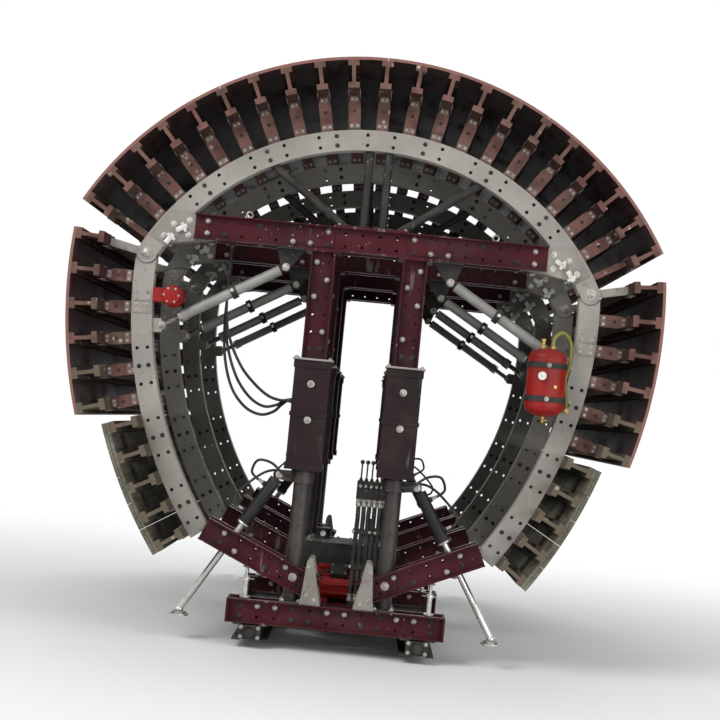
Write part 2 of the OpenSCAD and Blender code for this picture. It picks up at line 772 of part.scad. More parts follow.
// Spacer blocks: full ones along the crown, half ones at the hinges
module crown_blocks() {
    last = crown_girders - 1;
    color(timber) each_frame() for (i = [0:last])
        on_crown(-crown_girder_half + i * crown_pitch) translate([0, 0, ring_r])
            block(crown_block_h, i == 0 ? 0 : -block_w / 2, i == last ? 0 : block_w / 2);
}

// Sheets of a skin on girders' heads, between the angles in cuts and in two lengths along the tunnel
module sheets(head_r, t, cuts) {
    r = skin_in(head_r);
    trim = sheet_gap / 2;
    trim_a = asin(trim / r);
    for (i = [0:len(cuts) - 2], s = [-1, 1])
        sweep_y(cuts[i] + trim_a, cuts[i + 1] - trim_a)
            translate([r, s > 0 ? trim : -half_len]) square([t, half_len - trim]);
}

// The crown's sheets meet on every fifth girder
module crown_skin() {
    joints = [for (i = [sheet_bays:sheet_bays:crown_girders - 2]) 90 - crown_girder_half + i * crown_pitch];
    reach = crown_girder_half + skin_edge(crown_head_r);
    color(plywood) translate([0, 0, crown_z])
        sheets(crown_head_r, skin_t, concat([90 - reach], joints, [90 + reach]));
}

// Struts from the top beam to the crown ring, square ended on both
module crown_struts() {
    strut_foot = top_beam_top + strut_plate[1];
    foot = [200, strut_foot];
    head = [0, crown_z] + crown_pt(ring_in, 25.5);
    strut_r = 30;
    d = head - foot;
    color(dark_steel) each_frame() intersection() {
        union() {
            mirrored_x() translate([foot[0], 0, foot[1]]) rotate([0, atan2(d[0], d[1]), 0])
                translate([0, 0, -60]) cylinder(r = strut_r, h = norm(d) + 160);
            for (x = [-70, 70]) translate([x, 0, strut_foot - 60])
                cylinder(r = strut_r, h = ring_in - top_beam_rise);
        }
        translate([0, 0, crown_z]) rotate([90, 0, 0])
            cylinder(r = ring_in - seat, h = 400, center = true, $fn = 1440);
        translate([-ring_r, -ring_w, strut_foot]) cube([2 * ring_r, 2 * ring_w, ring_r]);
    }
}

module hinge_pins() {
    color(galvanised) each_frame() mirrored_x() translate([hinge_x, 0, hinge_z]) rotate([90, 0, 0])
        cylinder(r = hinge_pin_r, h = ring_w + 2 * ear_t + 30, center = true);
}

// Bracket plates in the top beam's gap that carry the swing spindles, with their pins
module spindle_brackets() {
    color(dark_steel) each_frame() mirrored_x() {
        for (s = [-1, 1])
            translate([0, s * (lug_gap + lug_t) / 2, 0]) slab(lug_t) {
                polygon([[spindle_a[0] - 34, spindle_a[1]], [spindle_a[0] + 34, spindle_a[1]],
                         [spindle_a[0] + 80, top_beam_foot], [spindle_a[0] - 140, top_beam_foot]]);
                translate(spindle_a) circle(r = 34);
            }
        translate([spindle_a[0] - 30, 0, top_beam_foot - 6]) cube([220, member_w - 20, 12], center = true);
        translate([spindle_a[0], 0, spindle_a[1]]) rotate([90, 0, 0])
            cylinder(r = spindle_pin_r, h = lug_gap + 2 * lug_t + 16, center = true);
    }
}

// Cables that drop from the beam's clip and swing across to the clip on the left sleeve
module trailing_cables() {
    color(black) for (i = [0:len(cable_routes) - 1])
        translate([0, cable_y + i * cable_pitch, 0])
            swept(concat([[cable_x, 0, top_beam_foot - seat]], [for (p = cable_routes[i]) [p[0], 0, p[1]]],
                         [[cable_end[0] - 40, 0, cable_end[1]], [cable_end[0] - 16 - seat, 0, cable_end[1]]]),
                  cable_r, 8, [0, 1, 0]);
}

// Side rings: the left set is modelled and the right one mirrors it
module side_ring_set() {
    color(ring_grey) each_frame() {
        difference() {
            translate([side_cx, 0, side_cz]) {
                ring_waler(side_r, 180 - side_lean, 180 + side_end);
                for (a = [2, 12, 22, 32]) ring_spacer(side_r, 180 + a);
            }
            translate([side_cx, 0, side_cz])
                ring_holes(side_r, [for (a = [4.5, 9.5, 14.5, 19.5, 24.5, 29.5, 34.5]) 180 + a]);
            translate([-hinge_x, 0, hinge_z]) rotate([90, 0, 0])
                cylinder(r = hinge_clear_r, h = 2 * ring_w, center = true);
        }
        // Inner hinge ears, each with a horn that carries the first girder
        for (s = [-1, 1])
            translate([0, s * (ring_w / 2 - ring_plate - ear_t / 2 + weld), 0]) slab(ear_t)
                difference() {
                    union() {
                        translate([-hinge_x, hinge_z]) circle(r = side_ear_r);
                        translate([-hinge_x, hinge_z]) rotate(-90 - side_lean + 2)
                            translate([0, -side_neck]) square([200, 2 * side_neck]);
                        polygon([horn_root + horn_root_side, horn_end + horn_foot_side,
                                 horn_end - horn_foot_side, horn_root - horn_root_side]);
                    }
                    translate([-hinge_x, hinge_z]) circle(r = hinge_pin_r + run);
                }
        // Lug for the swing spindle
        for (s = [-1, 1])
            translate([0, s * (lug_gap + lug_t) / 2, 0]) slab(lug_t) {
                translate(lug_pt) circle(r = spindle_eye_r);
                translate([side_cx, side_cz]) rotate(180 + lug_angle)
                    translate([side_in - lug_reach, -50]) square([lug_reach + 4, 100]);
            }
        translate([lug_pt[0], 0, lug_pt[1]]) rotate([90, 0, 0])
            cylinder(r = lug_pin_r, h = lug_gap + 2 * lug_t + 16, center = true);
    }
}
// Places on the left side, by the angle below the level line
module on_side(at) { translate([side_cx, 0, side_cz]) rotate([0, -90 - at, 0]) children(); }

module side_girder_set() {
    color(timber) {
        for (i = [0:upper_count - 1])
            on_side(upper_first + i * upper_pitch) translate([0, 0, side_seat]) girder();
        for (i = [0:lower_count - 1])
            on_side(lower_first + i * lower_pitch) translate([0, 0, side_out + seat]) girder();
    }
}

module side_block_set() {
    color(timber) each_frame() for (i = [1:upper_count - 1])
        on_side(upper_first + i * upper_pitch) translate([0, 0, side_out + seat])
            block(side_block_h, -block_w / 2, block_w / 2);
}

module side_skin_set() {
    edge = skin_edge(side_head_r);
    from = 180 + upper_first;
    color(plywood) translate([side_cx, 0, side_cz])
        sheets(side_head_r, skin_t, [from - edge, from + (upper_count - 1) * upper_pitch + edge]);
}
module side_board_set() {
    edge = skin_edge(board_head_r);
    from = 180 + lower_first - edge;
    board_a = ((lower_count - 1) * lower_pitch + 2 * edge) / board_count;
    color(board) translate([side_cx, 0, side_cz])
        sheets(board_head_r, board_t, [for (i = [0:board_count]) from + i * board_a]);
}

module left_rings() { side_ring_set(); }
module left_girders() { side_girder_set(); }
module left_blocks() { side_block_set(); }
module left_skin() { side_skin_set(); }
module left_boards() { side_board_set(); }
module right_rings() { mirror([1, 0, 0]) side_ring_set(); }
module right_girders() { mirror([1, 0, 0]) side_girder_set(); }
module right_blocks() { mirror([1, 0, 0]) side_block_set(); }
module right_skin() { mirror([1, 0, 0]) side_skin_set(); }
module right_boards() { mirror([1, 0, 0]) side_board_set(); }

// The space inside the side rings, up to a seat from their inner faces: s = -1 on the left
module inside_side_ring(s) {
    translate([-s * side_cx, 0, side_cz]) rotate([90, 0, 0])
        cylinder(r = side_in - seat, h = 3 * half_len, center = true, $fn = 1440);
}

// The skin vibrator: a short motor with end covers, on a foot against the first left ring
module vibrator() {
    reach = vibrator_r + vibrator_gap + 60;
    color(red_paint) translate([0, frame_y(0), 0]) intersection() {
        translate([vibrator_at[0], 0, vibrator_at[1]]) {
            rotate([90, 0, 0]) {
                cylinder(r = vibrator_r, h = 150, center = true);
                cylinder(r = vibrator_r - 10, h = 230, center = true);
            }
            translate([-reach, -50, -50]) cube([reach, 100, 100]);
        }
        inside_side_ring(-1);
    }
}

// Compressed air receiver: a tube with dished ends
module receiver() {
    dish = 70;
    half = receiver_h / 2 - dish;
    turn = [for (a = [0:7.5:90]) [receiver_r * cos(a), half + dish * sin(a)]];
    color(red_paint) translate([receiver_x, receiver_y, receiver_z]) rotate_extrude($fn = 64)
        polygon(concat([for (i = [len(turn) - 1:-1:0]) [turn[i][0], -turn[i][1]]], turn));
}

module receiver_straps() {
    tab_y = frame_y(0) - ring_w / 2 + 2;
    color(dark_steel) intersection() {
        difference() {
            for (z = [-120, 120]) translate([receiver_x, 0, receiver_z + z - 20]) {
                translate([0, receiver_y, 0]) cylinder(r = receiver_r + 8, h = 40, $fn = 64);
                translate([0, tab_y, 0]) cube([receiver_r + 80, 14, 40]);
            }
            translate([receiver_x, receiver_y, receiver_z])
                cylinder(r = receiver_r + seat, h = 600, center = true, $fn = 64);
        }
        inside_side_ring(1);
    }
}

// A spindle piece placed along its line from the gantry eye to the ring lug, on the side s = -1 or 1
module on_spindle(s) {
    translate([s * spindle_a[0], 0, spindle_a[1]])
        rotate([0, s > 0 ? -spindle_dir_a : spindle_dir_a - 180, 0]) children();
}
module barrel_set(s) {
    color(ring_grey) each_frame() on_spindle(s)
        barrel(barrel_l, barrel_r, rod_r + run, spindle_eye_r, spindle_eye_w, spindle_pin_r);
}
module rod_set(s) {
    color(galvanised) each_frame() on_spindle(s) difference() {
        union() {
            translate([barrel_l - rod_in, 0, 0]) rotate([0, 90, 0])
                cylinder(r = rod_r, h = spindle_l - barrel_l + rod_in - spindle_eye_r + 10);
            translate([spindle_l, 0, 0]) rotate([90, 0, 0])
                cylinder(r = spindle_eye_r, h = spindle_eye_w, center = true);
        }
        translate([spindle_l, 0, 0]) rotate([90, 0, 0])
            cylinder(r = rod_eye_bore, h = 4 * spindle_eye_w, center = true);
    }
}
module left_barrels() { barrel_set(-1); }
module left_rods() { rod_set(-1); }
module right_barrels() { barrel_set(1); }
module right_rods() { rod_set(1); }

base_beams();
sole_beams();
telescopic_tubes();
brace_struts();
brace_brackets();
gantry_pins();
jack_barrels();
axle_pins();
pack_frame();
pack_tank();
pack_motor();
valve_stand();
supply_hoses();
wheel_near_left();
wheel_near_right();
wheel_far_left();
wheel_far_right();
jack_near_left();
jack_near_right();
jack_far_left();
jack_far_right();
base_ties();
crown_ties();
top_beams();
beam_brackets();
upper_posts();
post_sleeves();
crown_ring_1();
crown_ring_2();
crown_ring_3();
crown_ring_4();
crown_girders();
crown_blocks();
crown_skin();
crown_struts();
hinge_pins();
spindle_brackets();
trailing_cables();
left_rings();
left_girders();
left_blocks();
left_skin();
left_boards();
vibrator();
right_rings();
right_girders();
right_blocks();
right_skin();
right_boards();
receiver();
receiver_straps();
left_barrels();
left_rods();
right_barrels();
right_rods();
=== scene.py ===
"""Looks of a tunnel formwork carriage: plywood skin and timber girders on curved steel rings, carried by a
folding steel gantry on rail wheels. Metres; X across the tunnel, Y along it, Z up."""

import json
import math
import random
from functools import partial
from itertools import product

import bpy
from mathutils import Matrix, Vector


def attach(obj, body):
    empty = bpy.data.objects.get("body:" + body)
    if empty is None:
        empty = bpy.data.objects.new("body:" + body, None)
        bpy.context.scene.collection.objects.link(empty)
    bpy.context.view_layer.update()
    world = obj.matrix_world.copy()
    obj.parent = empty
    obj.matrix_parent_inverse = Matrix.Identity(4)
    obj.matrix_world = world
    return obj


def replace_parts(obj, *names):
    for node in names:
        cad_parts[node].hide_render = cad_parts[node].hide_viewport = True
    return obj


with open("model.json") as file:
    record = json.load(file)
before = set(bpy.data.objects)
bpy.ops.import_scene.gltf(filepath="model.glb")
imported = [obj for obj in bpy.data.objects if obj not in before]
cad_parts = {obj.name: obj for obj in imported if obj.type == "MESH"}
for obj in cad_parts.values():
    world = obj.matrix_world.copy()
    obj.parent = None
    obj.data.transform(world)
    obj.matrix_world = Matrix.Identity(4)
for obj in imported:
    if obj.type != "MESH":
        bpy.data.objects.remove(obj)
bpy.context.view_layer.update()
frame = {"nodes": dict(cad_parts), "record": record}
nodes = frame["nodes"]
rng = random.Random(7)
PI = math.pi

# Places and sizes that the part's source gives, in metres and degrees
FRAME_YS = (-2.25, -0.75, 0.75, 2.25)
CROWN_Z = 1.9
RING_MID, RING_OUT, RING_W = 1.825, 1.90, 0.11
SIDE_C = (1.382367, 2.563189)
SIDE_IN, SIDE_MID, SIDE_OUT = 2.925, 3.0, 3.075
HINGE = (1.611379, 2.756786)
CROWN_HALF, CROWN_PITCH, CROWN_COUNT = 59.5, 5.95, 21
UPPER_FIRST, UPPER_PITCH, UPPER_COUNT = -4.4, 4.15, 6
LOWER_FIRST, LOWER_PITCH, LOWER_COUNT = 19.4, 3.95, 5
CROWN_BLOCK_H, SIDE_BLOCK_H = 0.25, 0.20
MEMBER_W, WEB_Y = 0.25, 0.074  # gantry members: width over the flanges, and outer face of a web
BEAM_Z, BEAM_TOP = 2.98, 3.07
BASE_Z, BASE_TOP = 0.26, 0.345
POST_X = 0.333
SPINDLE_A, SPINDLE_DIR = (0.6, 2.75), (0.8620, -0.5069)
JACK_TOP, JACK_DIR = (0.5, 1.25), (0.519931, -0.854172)
LUG_HALF = 0.038  # half width of the joints at the ends of spindles and jacks
WHEEL_X, WHEEL_Y, AXLE_Z = 0.6, 1.5, 0.12
PACK_FLOOR = 0.305
RX, RY, RZ = 1.335, -2.433, 2.09  # middle of the receiver
VIBRATOR = VX, VY, VZ = -1.3958, -2.25, 2.4613
MOTOR = MX, MY, MZ = -0.03, -1.825, 0.465


# Shapes

def shift(x, y, z):
    return Matrix.Translation((x, y, z))


def spin(angle, axis="Z"):
    return Matrix.Rotation(angle, 4, axis)


def around(count, start=0.0):
    """Angles spread evenly round a circle."""
    return [start + k * 2 * PI / count for k in range(count)]


def corners(a, b):
    return [(p, q) for p in (-a, a) for q in (-b, b)]


def off(origin, points):
    """Points that are given from an origin."""
    return [tuple(a + b for a, b in zip(origin, p)) for p in points]


def stub(r, h, cut, drop):
    """Profile of a short round stub whose end edge is cut back by cut across and drop along."""
    return [(r, 0), (r, h - drop), (r - cut, h)]


def turned(profile, n):
    """Rows of n vertices round Z, one row for each (radius, z) pair."""
    return [(r * math.cos(t), r * math.sin(t), z) for r, z in profile for t in around(n)]


def bands(rows, n):
    """Faces between rows of n vertices each."""
    return [(i * n + k, i * n + (k + 1) % n, (i + 1) * n + (k + 1) % n, (i + 1) * n + k)
            for i in range(rows - 1) for k in range(n)]


def caps(rows, n):
    """The two end faces of such rows."""
    return [tuple(reversed(range(n))), tuple(range((rows - 1) * n, rows * n))]


def link(name, data):
    obj = bpy.data.objects.new(name, data)
    bpy.context.scene.collection.objects.link(obj)
    return obj


class Solid:
    """Gathers vertices and faces of one piece."""

    def __init__(self):
        self.v, self.f = [], []

    def add(self, verts, faces, at=None):
        n = len(self.v)
        m = at or Matrix()
        self.v += [tuple(m @ Vector(p)) for p in verts]
        flip = m.determinant() < 0
        self.f += [tuple(n + i for i in (reversed(f) if flip else f)) for f in faces]

    def lathe(self, profile, at=None, n=24):
        """A closed solid turned about Z from (radius, z) pairs, with flat ends where they stop off the axis."""
        body = [p for p in profile if p[0]]
        verts, faces = turned(body, n), bands(len(body), n)
        lo, top = len(verts), len(verts) - n
        for k in range(n):
            j = (k + 1) % n
            faces += [(lo, j, k), (lo + 1, top + k, top + j)]
        self.add(verts + [(0, 0, profile[0][1]), (0, 0, profile[-1][1])], faces, at)

    def ring(self, profile, at=None, n=32):
        """A closed profile of (radius, z) pairs, anticlockwise, turned about Z into a ring."""
        last = (len(profile) - 1) * n
        closing = [(last + k, last + (k + 1) % n, (k + 1) % n, k) for k in range(n)]
        self.add(turned(profile, n), bands(len(profile), n) + closing, at)

    def torus(self, at, big, small, n=24, m=8):
        self.ring([(big + small * math.cos(t), small * math.sin(t)) for t in around(m)], at, n)

    def plate(self, outline, z0, z1, at=None, bevel=0.0):
        """An anticlockwise outline in XY, thickened from z0 to z1, its rims drawn in by the bevel."""
        m = len(outline)
        cx = sum(p[0] for p in outline) / m
        cy = sum(p[1] for p in outline) / m

        def drawn(p):
            d = math.hypot(p[0] - cx, p[1] - cy) or 1
            s = max(0.0, 1 - bevel / d)
            return cx + (p[0] - cx) * s, cy + (p[1] - cy) * s

        levels = [(z0, False), (z1, False)]
        if bevel:
            levels = [(z0, True), (z0 + bevel, False), (z1 - bevel, False), (z1, True)]
        verts = []
        for z, inner in levels:
            verts += [((*drawn(p), z) if inner else (p[0], p[1], z)) for p in outline]
        self.add(verts, caps(len(levels), m) + bands(len(levels), m), at)

    def block(self, size, at=None, bevel=0.0):
        x, y, z = (s / 2 for s in size)
        self.plate([(-x, -y), (x, -y), (x, y), (-x, y)], -z, z, at, bevel)

    def tube(self, points, r, n=12):
        """A round bar or hose through the points, closed at both ends."""
        pts = [Vector(p) for p in points]
        verts, side = [], None
        for i, p in enumerate(pts):
            d = (pts[min(i + 1, len(pts) - 1)] - pts[max(i - 1, 0)]).normalized()
            if side is None:
                side = d.orthogonal().normalized()
            side = (side - d * side.dot(d)).normalized()
            other = d.cross(side)
            verts += [p + r * (side * math.cos(t) + other * math.sin(t)) for t in around(n)]
        self.add(verts, caps(len(pts), n) + bands(len(pts), n))

    def hose(self, points, r, n=10, steps=6):
        """A smooth hose through the points, held at both ends."""
        p = [Vector(q) for q in points]
        p = [2 * p[0] - p[1]] + p + [2 * p[-1] - p[-2]]
        route = []
        for i in range(1, len(p) - 2):
            a, b, c, d = p[i - 1:i + 3]
            for k in range(steps):
                t = k / steps
                route.append(0.5 * (2 * b + (c - a) * t + (2 * a - 5 * b + 4 * c - d) * t ** 2
                                    + (3 * b - a - 3 * c + d) * t ** 3))
        self.tube(route + [p[-2]], r, n)

    def bolt(self, at, d=0.02, nut=True):
        """A hexagon head on a washer, standing on the plane z = 0."""
        r, h = d * 0.95, d * 0.65
        self.lathe([(d * 1.25, 0), (d * 1.25, d * 0.13)], at, 16)
        self.lathe([(0, 0), (r, d * 0.13), (r, h), (r * 0.86, h + d * 0.1)], at, 6)
        if nut:
            end = h + d * 0.5
            self.lathe([(d * 0.48, h), (d * 0.48, h + d * 0.42), (d * 0.38, end)], at, 12)

    def piece(self, name, body, mat, slot):
        mesh = bpy.data.meshes.new(name)
        mesh.from_pydata([tuple(p) for p in self.v], [], self.f)
        mesh.validate()
        mesh.update()
        mesh.polygons.foreach_set("use_smooth", [True] * len(mesh.polygons))
        mesh.set_sharp_from_angle(angle=math.radians(35))
        obj = link(name, mesh)
        mesh.materials.append(mat)
        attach(obj, body)
        return obj


WAYS = {"x": (1, 0, 0), "-x": (-1, 0, 0), "y": (0, 1, 0), "-y": (0, -1, 0), "z": (0, 0, 1), "-z": (0, 0, -1)}


def place(x, y, z, axis="z", turn=0.0):
    """A matrix that puts local +Z along an axis, which is a key of WAYS or a vector."""
    d = Vector(WAYS[axis] if isinstance(axis, str) else axis).normalized()
    q = Vector((0, 0, 1)).rotation_difference(d)
    return shift(x, y, z) @ q.to_matrix().to_4x4() @ spin(turn)


def crown_pt(r, a):
    a = math.radians(a)
    return r * math.sin(a), CROWN_Z + r * math.cos(a)


def side_pt(s, r, a):
    """A point at radius r and the angle a below the level line, on the side s = -1 or 1."""
    a = math.radians(a)
    return -s * (SIDE_C[0] - r * math.cos(a)), SIDE_C[1] - r * math.sin(a)


# Materials

def linear(r, g, b):
    def one(c):
        c /= 255
        return c / 12.92 if c <= 0.04045 else ((c + 0.055) / 1.055) ** 2.4
    return one(r), one(g), one(b), 1.0


class Nodes:
    """Adds nodes to a tree by small steps. A value is a socket or a number."""

    def __init__(self, tree):
        self.tree = tree

    def node(self, kind, inputs=None, **props):
        n = self.tree.nodes.new("ShaderNode" + kind)
        for key, value in props.items():
            setattr(n, key, value)
        for key, value in (inputs or {}).items():
            self.put(n.inputs[key], value)
        return n

    def put(self, socket, value):
        if isinstance(value, bpy.types.NodeSocket):
            self.tree.links.new(value, socket)
        else:
            socket.default_value = value

    def math(self, op, a, b=0.0, clamp=False):
        return self.node("Math", {0: a, 1: b}, operation=op, use_clamp=clamp).outputs[0]

    def times(self, a, b, clamp=False):
        return self.math("MULTIPLY", a, b, clamp)

    def plus(self, a, b, clamp=False):
        return self.math("ADD", a, b, clamp)

    def more(self, a, b):
        return self.math("MAXIMUM", a, b)

    def mix(self, fac, a, b):
        """Colours are sockets, or triples from 0 to 255."""
        a, b = (linear(*c) if isinstance(c, tuple) and len(c) == 3 else c for c in (a, b))
        return self.node("Mix", {0: fac, 6: a, 7: b}, data_type="RGBA").outputs[2]

    def seen(self):
        """1 for rays from the camera, straight, by a reflection or through glass."""
        rays = self.node("LightPath").outputs
        return self.more(self.more(rays["Is Camera Ray"], rays["Is Glossy Ray"]), rays["Is Transmission Ray"])


class Shader(Nodes):
    """Builds a material on the object's own coordinates."""

    def __init__(self, name):
        self.mat = bpy.data.materials.new(name)
        self.mat.use_nodes = True
        super().__init__(self.mat.node_tree)
        self.bsdf = self.tree.nodes["Principled BSDF"]
        self.coord = self.node("TexCoord").outputs["Object"]

    def span(self, value, lo, hi, to_lo=0.0, to_hi=1.0):
        """The value mapped smoothly from lo..hi to to_lo..to_hi, held at both ends."""
        inputs = {0: value, 1: lo, 2: hi, 3: to_lo, 4: to_hi}
        return self.node("MapRange", inputs, interpolation_type="SMOOTHSTEP").outputs[0]

    def moved(self, stretch=None, seed=0.0):
        """The coordinates, stretched and moved by the seed."""
        if not (stretch or seed):
            return self.coord
        inputs = {0: self.coord, 1: (seed, seed * 0.7, seed * 1.3), 3: stretch or (1, 1, 1)}
        return self.node("Mapping", inputs).outputs[0]

    def noise(self, scale, detail=4.0, stretch=None, rough=0.55, seed=0.0):
        inputs = {"Vector": self.moved(stretch, seed), "Scale": scale, "Detail": detail, "Roughness": rough}
        return self.node("TexNoise", inputs).outputs["Fac"]

    def cells(self, scale, stretch):
        return self.node("TexVoronoi", {"Vector": self.moved(stretch), "Scale": scale}).outputs["Distance"]

    def axis(self, name):
        return self.node("SeparateXYZ", {0: self.coord}).outputs[name]

    def facing(self, name):
        """How far the surface looks along an axis, from -1 to 1."""
        normal = self.node("NewGeometry").outputs["Normal"]
        return self.node("SeparateXYZ", {0: normal}).outputs[name]

    def ends(self):
        """1 on the end faces of what lies along Y."""
        return self.span(self.math("ABSOLUTE", self.facing("Y")), 0.85, 0.95)

    def polar(self, x0, z0):
        """Radius about (x0, z0) and the angle in degrees, with the right half folded over the left."""
        x = self.math("SUBTRACT", self.math("ABSOLUTE", self.axis("X")), x0)
        z = self.math("SUBTRACT", self.axis("Z"), z0)
        r = self.math("SQRT", self.plus(self.times(x, x), self.times(z, z)))
        return r, self.times(self.math("ARCTAN2", x, z), 180 / PI)

    def stripes(self, value, pitch, width, offset=0.0):
        """1 on lines a width wide that lie a pitch apart."""
        phase = self.math("FRACT", self.math("DIVIDE", self.plus(value, offset + 1000 * pitch), pitch))
        near = self.math("MINIMUM", phase, self.math("SUBTRACT", 1.0, phase))
        return self.span(near, 0.75 * width / pitch, 0.35 * width / pitch)

    def bump(self, height, strength=0.3, distance=0.003):
        n = self.node("Bump", {"Height": height, "Strength": strength, "Distance": distance})
        self.put(self.bsdf.inputs["Normal"], n.outputs[0])

    def coat(self, fac, colour):
        """Lays a colour over what is there."""
        self.colour = self.mix(fac, self.colour, colour)

    def done(self, rough, metallic=0.0, specular=0.5):
        self.bsdf.inputs["Specular IOR Level"].default_value = specular
        self.put(self.bsdf.inputs["Base Color"], self.colour)
        self.put(self.bsdf.inputs["Roughness"], rough)
        self.put(self.bsdf.inputs["Metallic"], metallic)
        return self.mat


SLURRY, EDGE_W = (172, 168, 158), 0.005


def worked_steel(name, base, shade, dust, chip, chips, slurry, rough, dust_amount=0.5, metallic=0.0, edges=(),
                 specular=0.22, wear_from=0.60):
    """Painted or zinc-coated steel off a site: uneven coat, rust where it is chipped, dust on top, dried slurry.
    edges are heights where the coat is worn off."""
    s = Shader(name)
    fine = s.noise(38, 4)
    s.colour = s.mix(s.span(s.noise(2.3, 5, seed=0.3), 0.3, 0.7), base, shade)
    wear = s.times(s.span(s.noise(17, 6, rough=0.7, seed=1.7), wear_from, wear_from + 0.08), chips, clamp=True)
    for z in edges:
        near = s.math("ABSOLUTE", s.math("SUBTRACT", s.axis("Z"), z))
        wear = s.more(wear, s.span(s.plus(near, s.times(fine, EDGE_W * 1.6)), EDGE_W * 1.5, EDGE_W * 0.6))
    s.coat(wear, chip)
    lying = s.times(s.span(s.facing("Z"), 0.35, 0.9), s.span(s.noise(6, 5, seed=3.1), 0.25, 0.6), clamp=True)
    film = s.times(s.span(s.noise(3.4, 6, rough=0.65, seed=5.2), 0.46, 0.72), 0.55)
    dusty = s.times(s.more(lying, film), dust_amount, clamp=True)
    s.coat(dusty, dust)
    drops = s.times(s.span(s.cells(26, (1, 1, 0.7)), 0.16, 0.09), s.span(s.noise(1.9, 3, seed=8.4), 0.52, 0.62),
                    clamp=True)
    runs = s.times(s.span(s.noise(9, 5, stretch=(1, 1, 0.16), seed=2.2), 0.62, 0.70), 0.5)
    spatter = s.times(s.more(drops, runs), slurry, clamp=True)
    s.coat(spatter, SLURRY)
    s.bump(s.plus(s.times(fine, 0.35), s.times(s.more(spatter, wear), 0.8)), 0.35, 0.0015)
    return s.done(s.plus(rough, s.times(s.more(dusty, spatter), 0.3), clamp=True), metallic, specular)


def timber_material(name, base, shade, grey_from=None):
    """Girder timber with its grain along Y, end grain at both ends, dirt and cement dust."""
    s = Shader(name)
    grain = s.noise(34, 6, stretch=(1, 0.035, 1), rough=0.65)
    broad = s.noise(5, 4, stretch=(1, 0.12, 1), seed=1.2)
    s.colour = s.mix(s.span(grain, 0.32, 0.68), base, shade)
    s.coat(s.span(broad, 0.52, 0.72, 0, 0.6), (58, 38, 34))
    rings = s.node("TexWave", {"Vector": s.coord, "Scale": 44.0, "Distortion": 3.5, "Detail": 2.0},
                   wave_type="RINGS", rings_direction="Y").outputs["Fac"]
    end_grain = s.mix(s.times(rings, s.noise(60, 3)), (122, 90, 83), (78, 52, 47))
    s.coat(s.times(s.ends(), 0.85), end_grain)
    tone = s.span(s.noise(7.5, 1, stretch=(1, 0.01, 1), seed=12.4), 0.36, 0.64)
    s.coat(s.times(tone, 0.55), (56, 35, 34))
    haze = s.times(s.span(s.noise(2.6, 6, rough=0.65, seed=4.4), 0.42, 0.7), 0.36)
    if grey_from:
        low = s.span(s.axis("Z"), grey_from, grey_from - 0.55)
        haze = s.more(haze, s.times(low, s.span(s.noise(5, 4, seed=6.1), 0.2, 0.6, 0.55, 0.85)))
    dusty = s.more(haze, s.times(s.span(s.facing("Z"), 0.3, 0.9), 0.32))
    s.coat(dusty, (92, 88, 74))
    blobs = s.times(s.span(s.cells(13, (1, 0.8, 1)), 0.24, 0.12), s.span(s.noise(1.6, 2, seed=9.0), 0.5, 0.6))
    s.coat(s.times(blobs, 0.8), (168, 160, 146))
    s.bump(s.plus(s.times(grain, 0.7), s.times(blobs, 0.8)), 0.5, 0.0025)
    return s.done(s.plus(0.72, s.times(dusty, 0.2)), specular=0.08)


def skin_material(name, centre, outer_r, first, pitch):
    """Film-faced plywood: plies on its edges; on its face sheets, screw rows over the girders and dried laitance."""
    s = Shader(name)
    r, angle = s.polar(*centre)
    y = s.axis("Y")
    edge = s.mix(s.stripes(r, 0.003, 0.0014), (146, 106, 97), (88, 55, 50))
    s.colour = s.mix(s.span(s.noise(1.4, 5, seed=2.0), 0.35, 0.7), (104, 70, 60), (82, 54, 49))
    scour = s.noise(22, 5, stretch=(1, 0.05, 1), seed=3.0)
    s.coat(s.span(scour, 0.55, 0.75, 0, 0.5), (138, 104, 92))
    laitance = s.span(s.noise(2.1, 7, rough=0.68, seed=7.3), 0.44, 0.66)
    thin = s.span(s.noise(11, 5, stretch=(1, 0.25, 1), seed=5.0), 0.42, 0.66, 0.2, 1.0)
    laitance = s.times(s.times(laitance, thin), 0.75)
    s.coat(laitance, (158, 152, 142))
    crust = s.span(s.noise(6.5, 7, rough=0.7, seed=11.0), 0.61, 0.66)
    s.coat(s.times(crust, 0.85), (176, 171, 161))
    joint = s.stripes(y, 1.29, 0.006)
    screws = s.times(s.stripes(angle, pitch, 0.42, -first), s.stripes(y, 0.25, 0.014, 0.125))
    s.coat(s.times(joint, 0.85), (48, 34, 30))
    s.coat(s.times(screws, 0.8), (72, 60, 54))
    inner = s.mix(s.span(s.noise(30, 5, stretch=(1, 0.05, 1)), 0.35, 0.65), (58, 36, 33), (42, 27, 26))
    s.colour = s.mix(s.span(r, outer_r - 0.0025, outer_r - 0.0008), inner, s.colour)
    s.coat(s.ends(), edge)
    height = s.math("SUBTRACT", s.plus(s.times(laitance, 0.3), crust), s.times(s.more(joint, screws), 1.2))
    s.bump(s.plus(height, s.times(scour, 0.15)), 0.5, 0.002)
    return s.done(s.plus(0.5, s.times(laitance, 0.4)), specular=0.2)


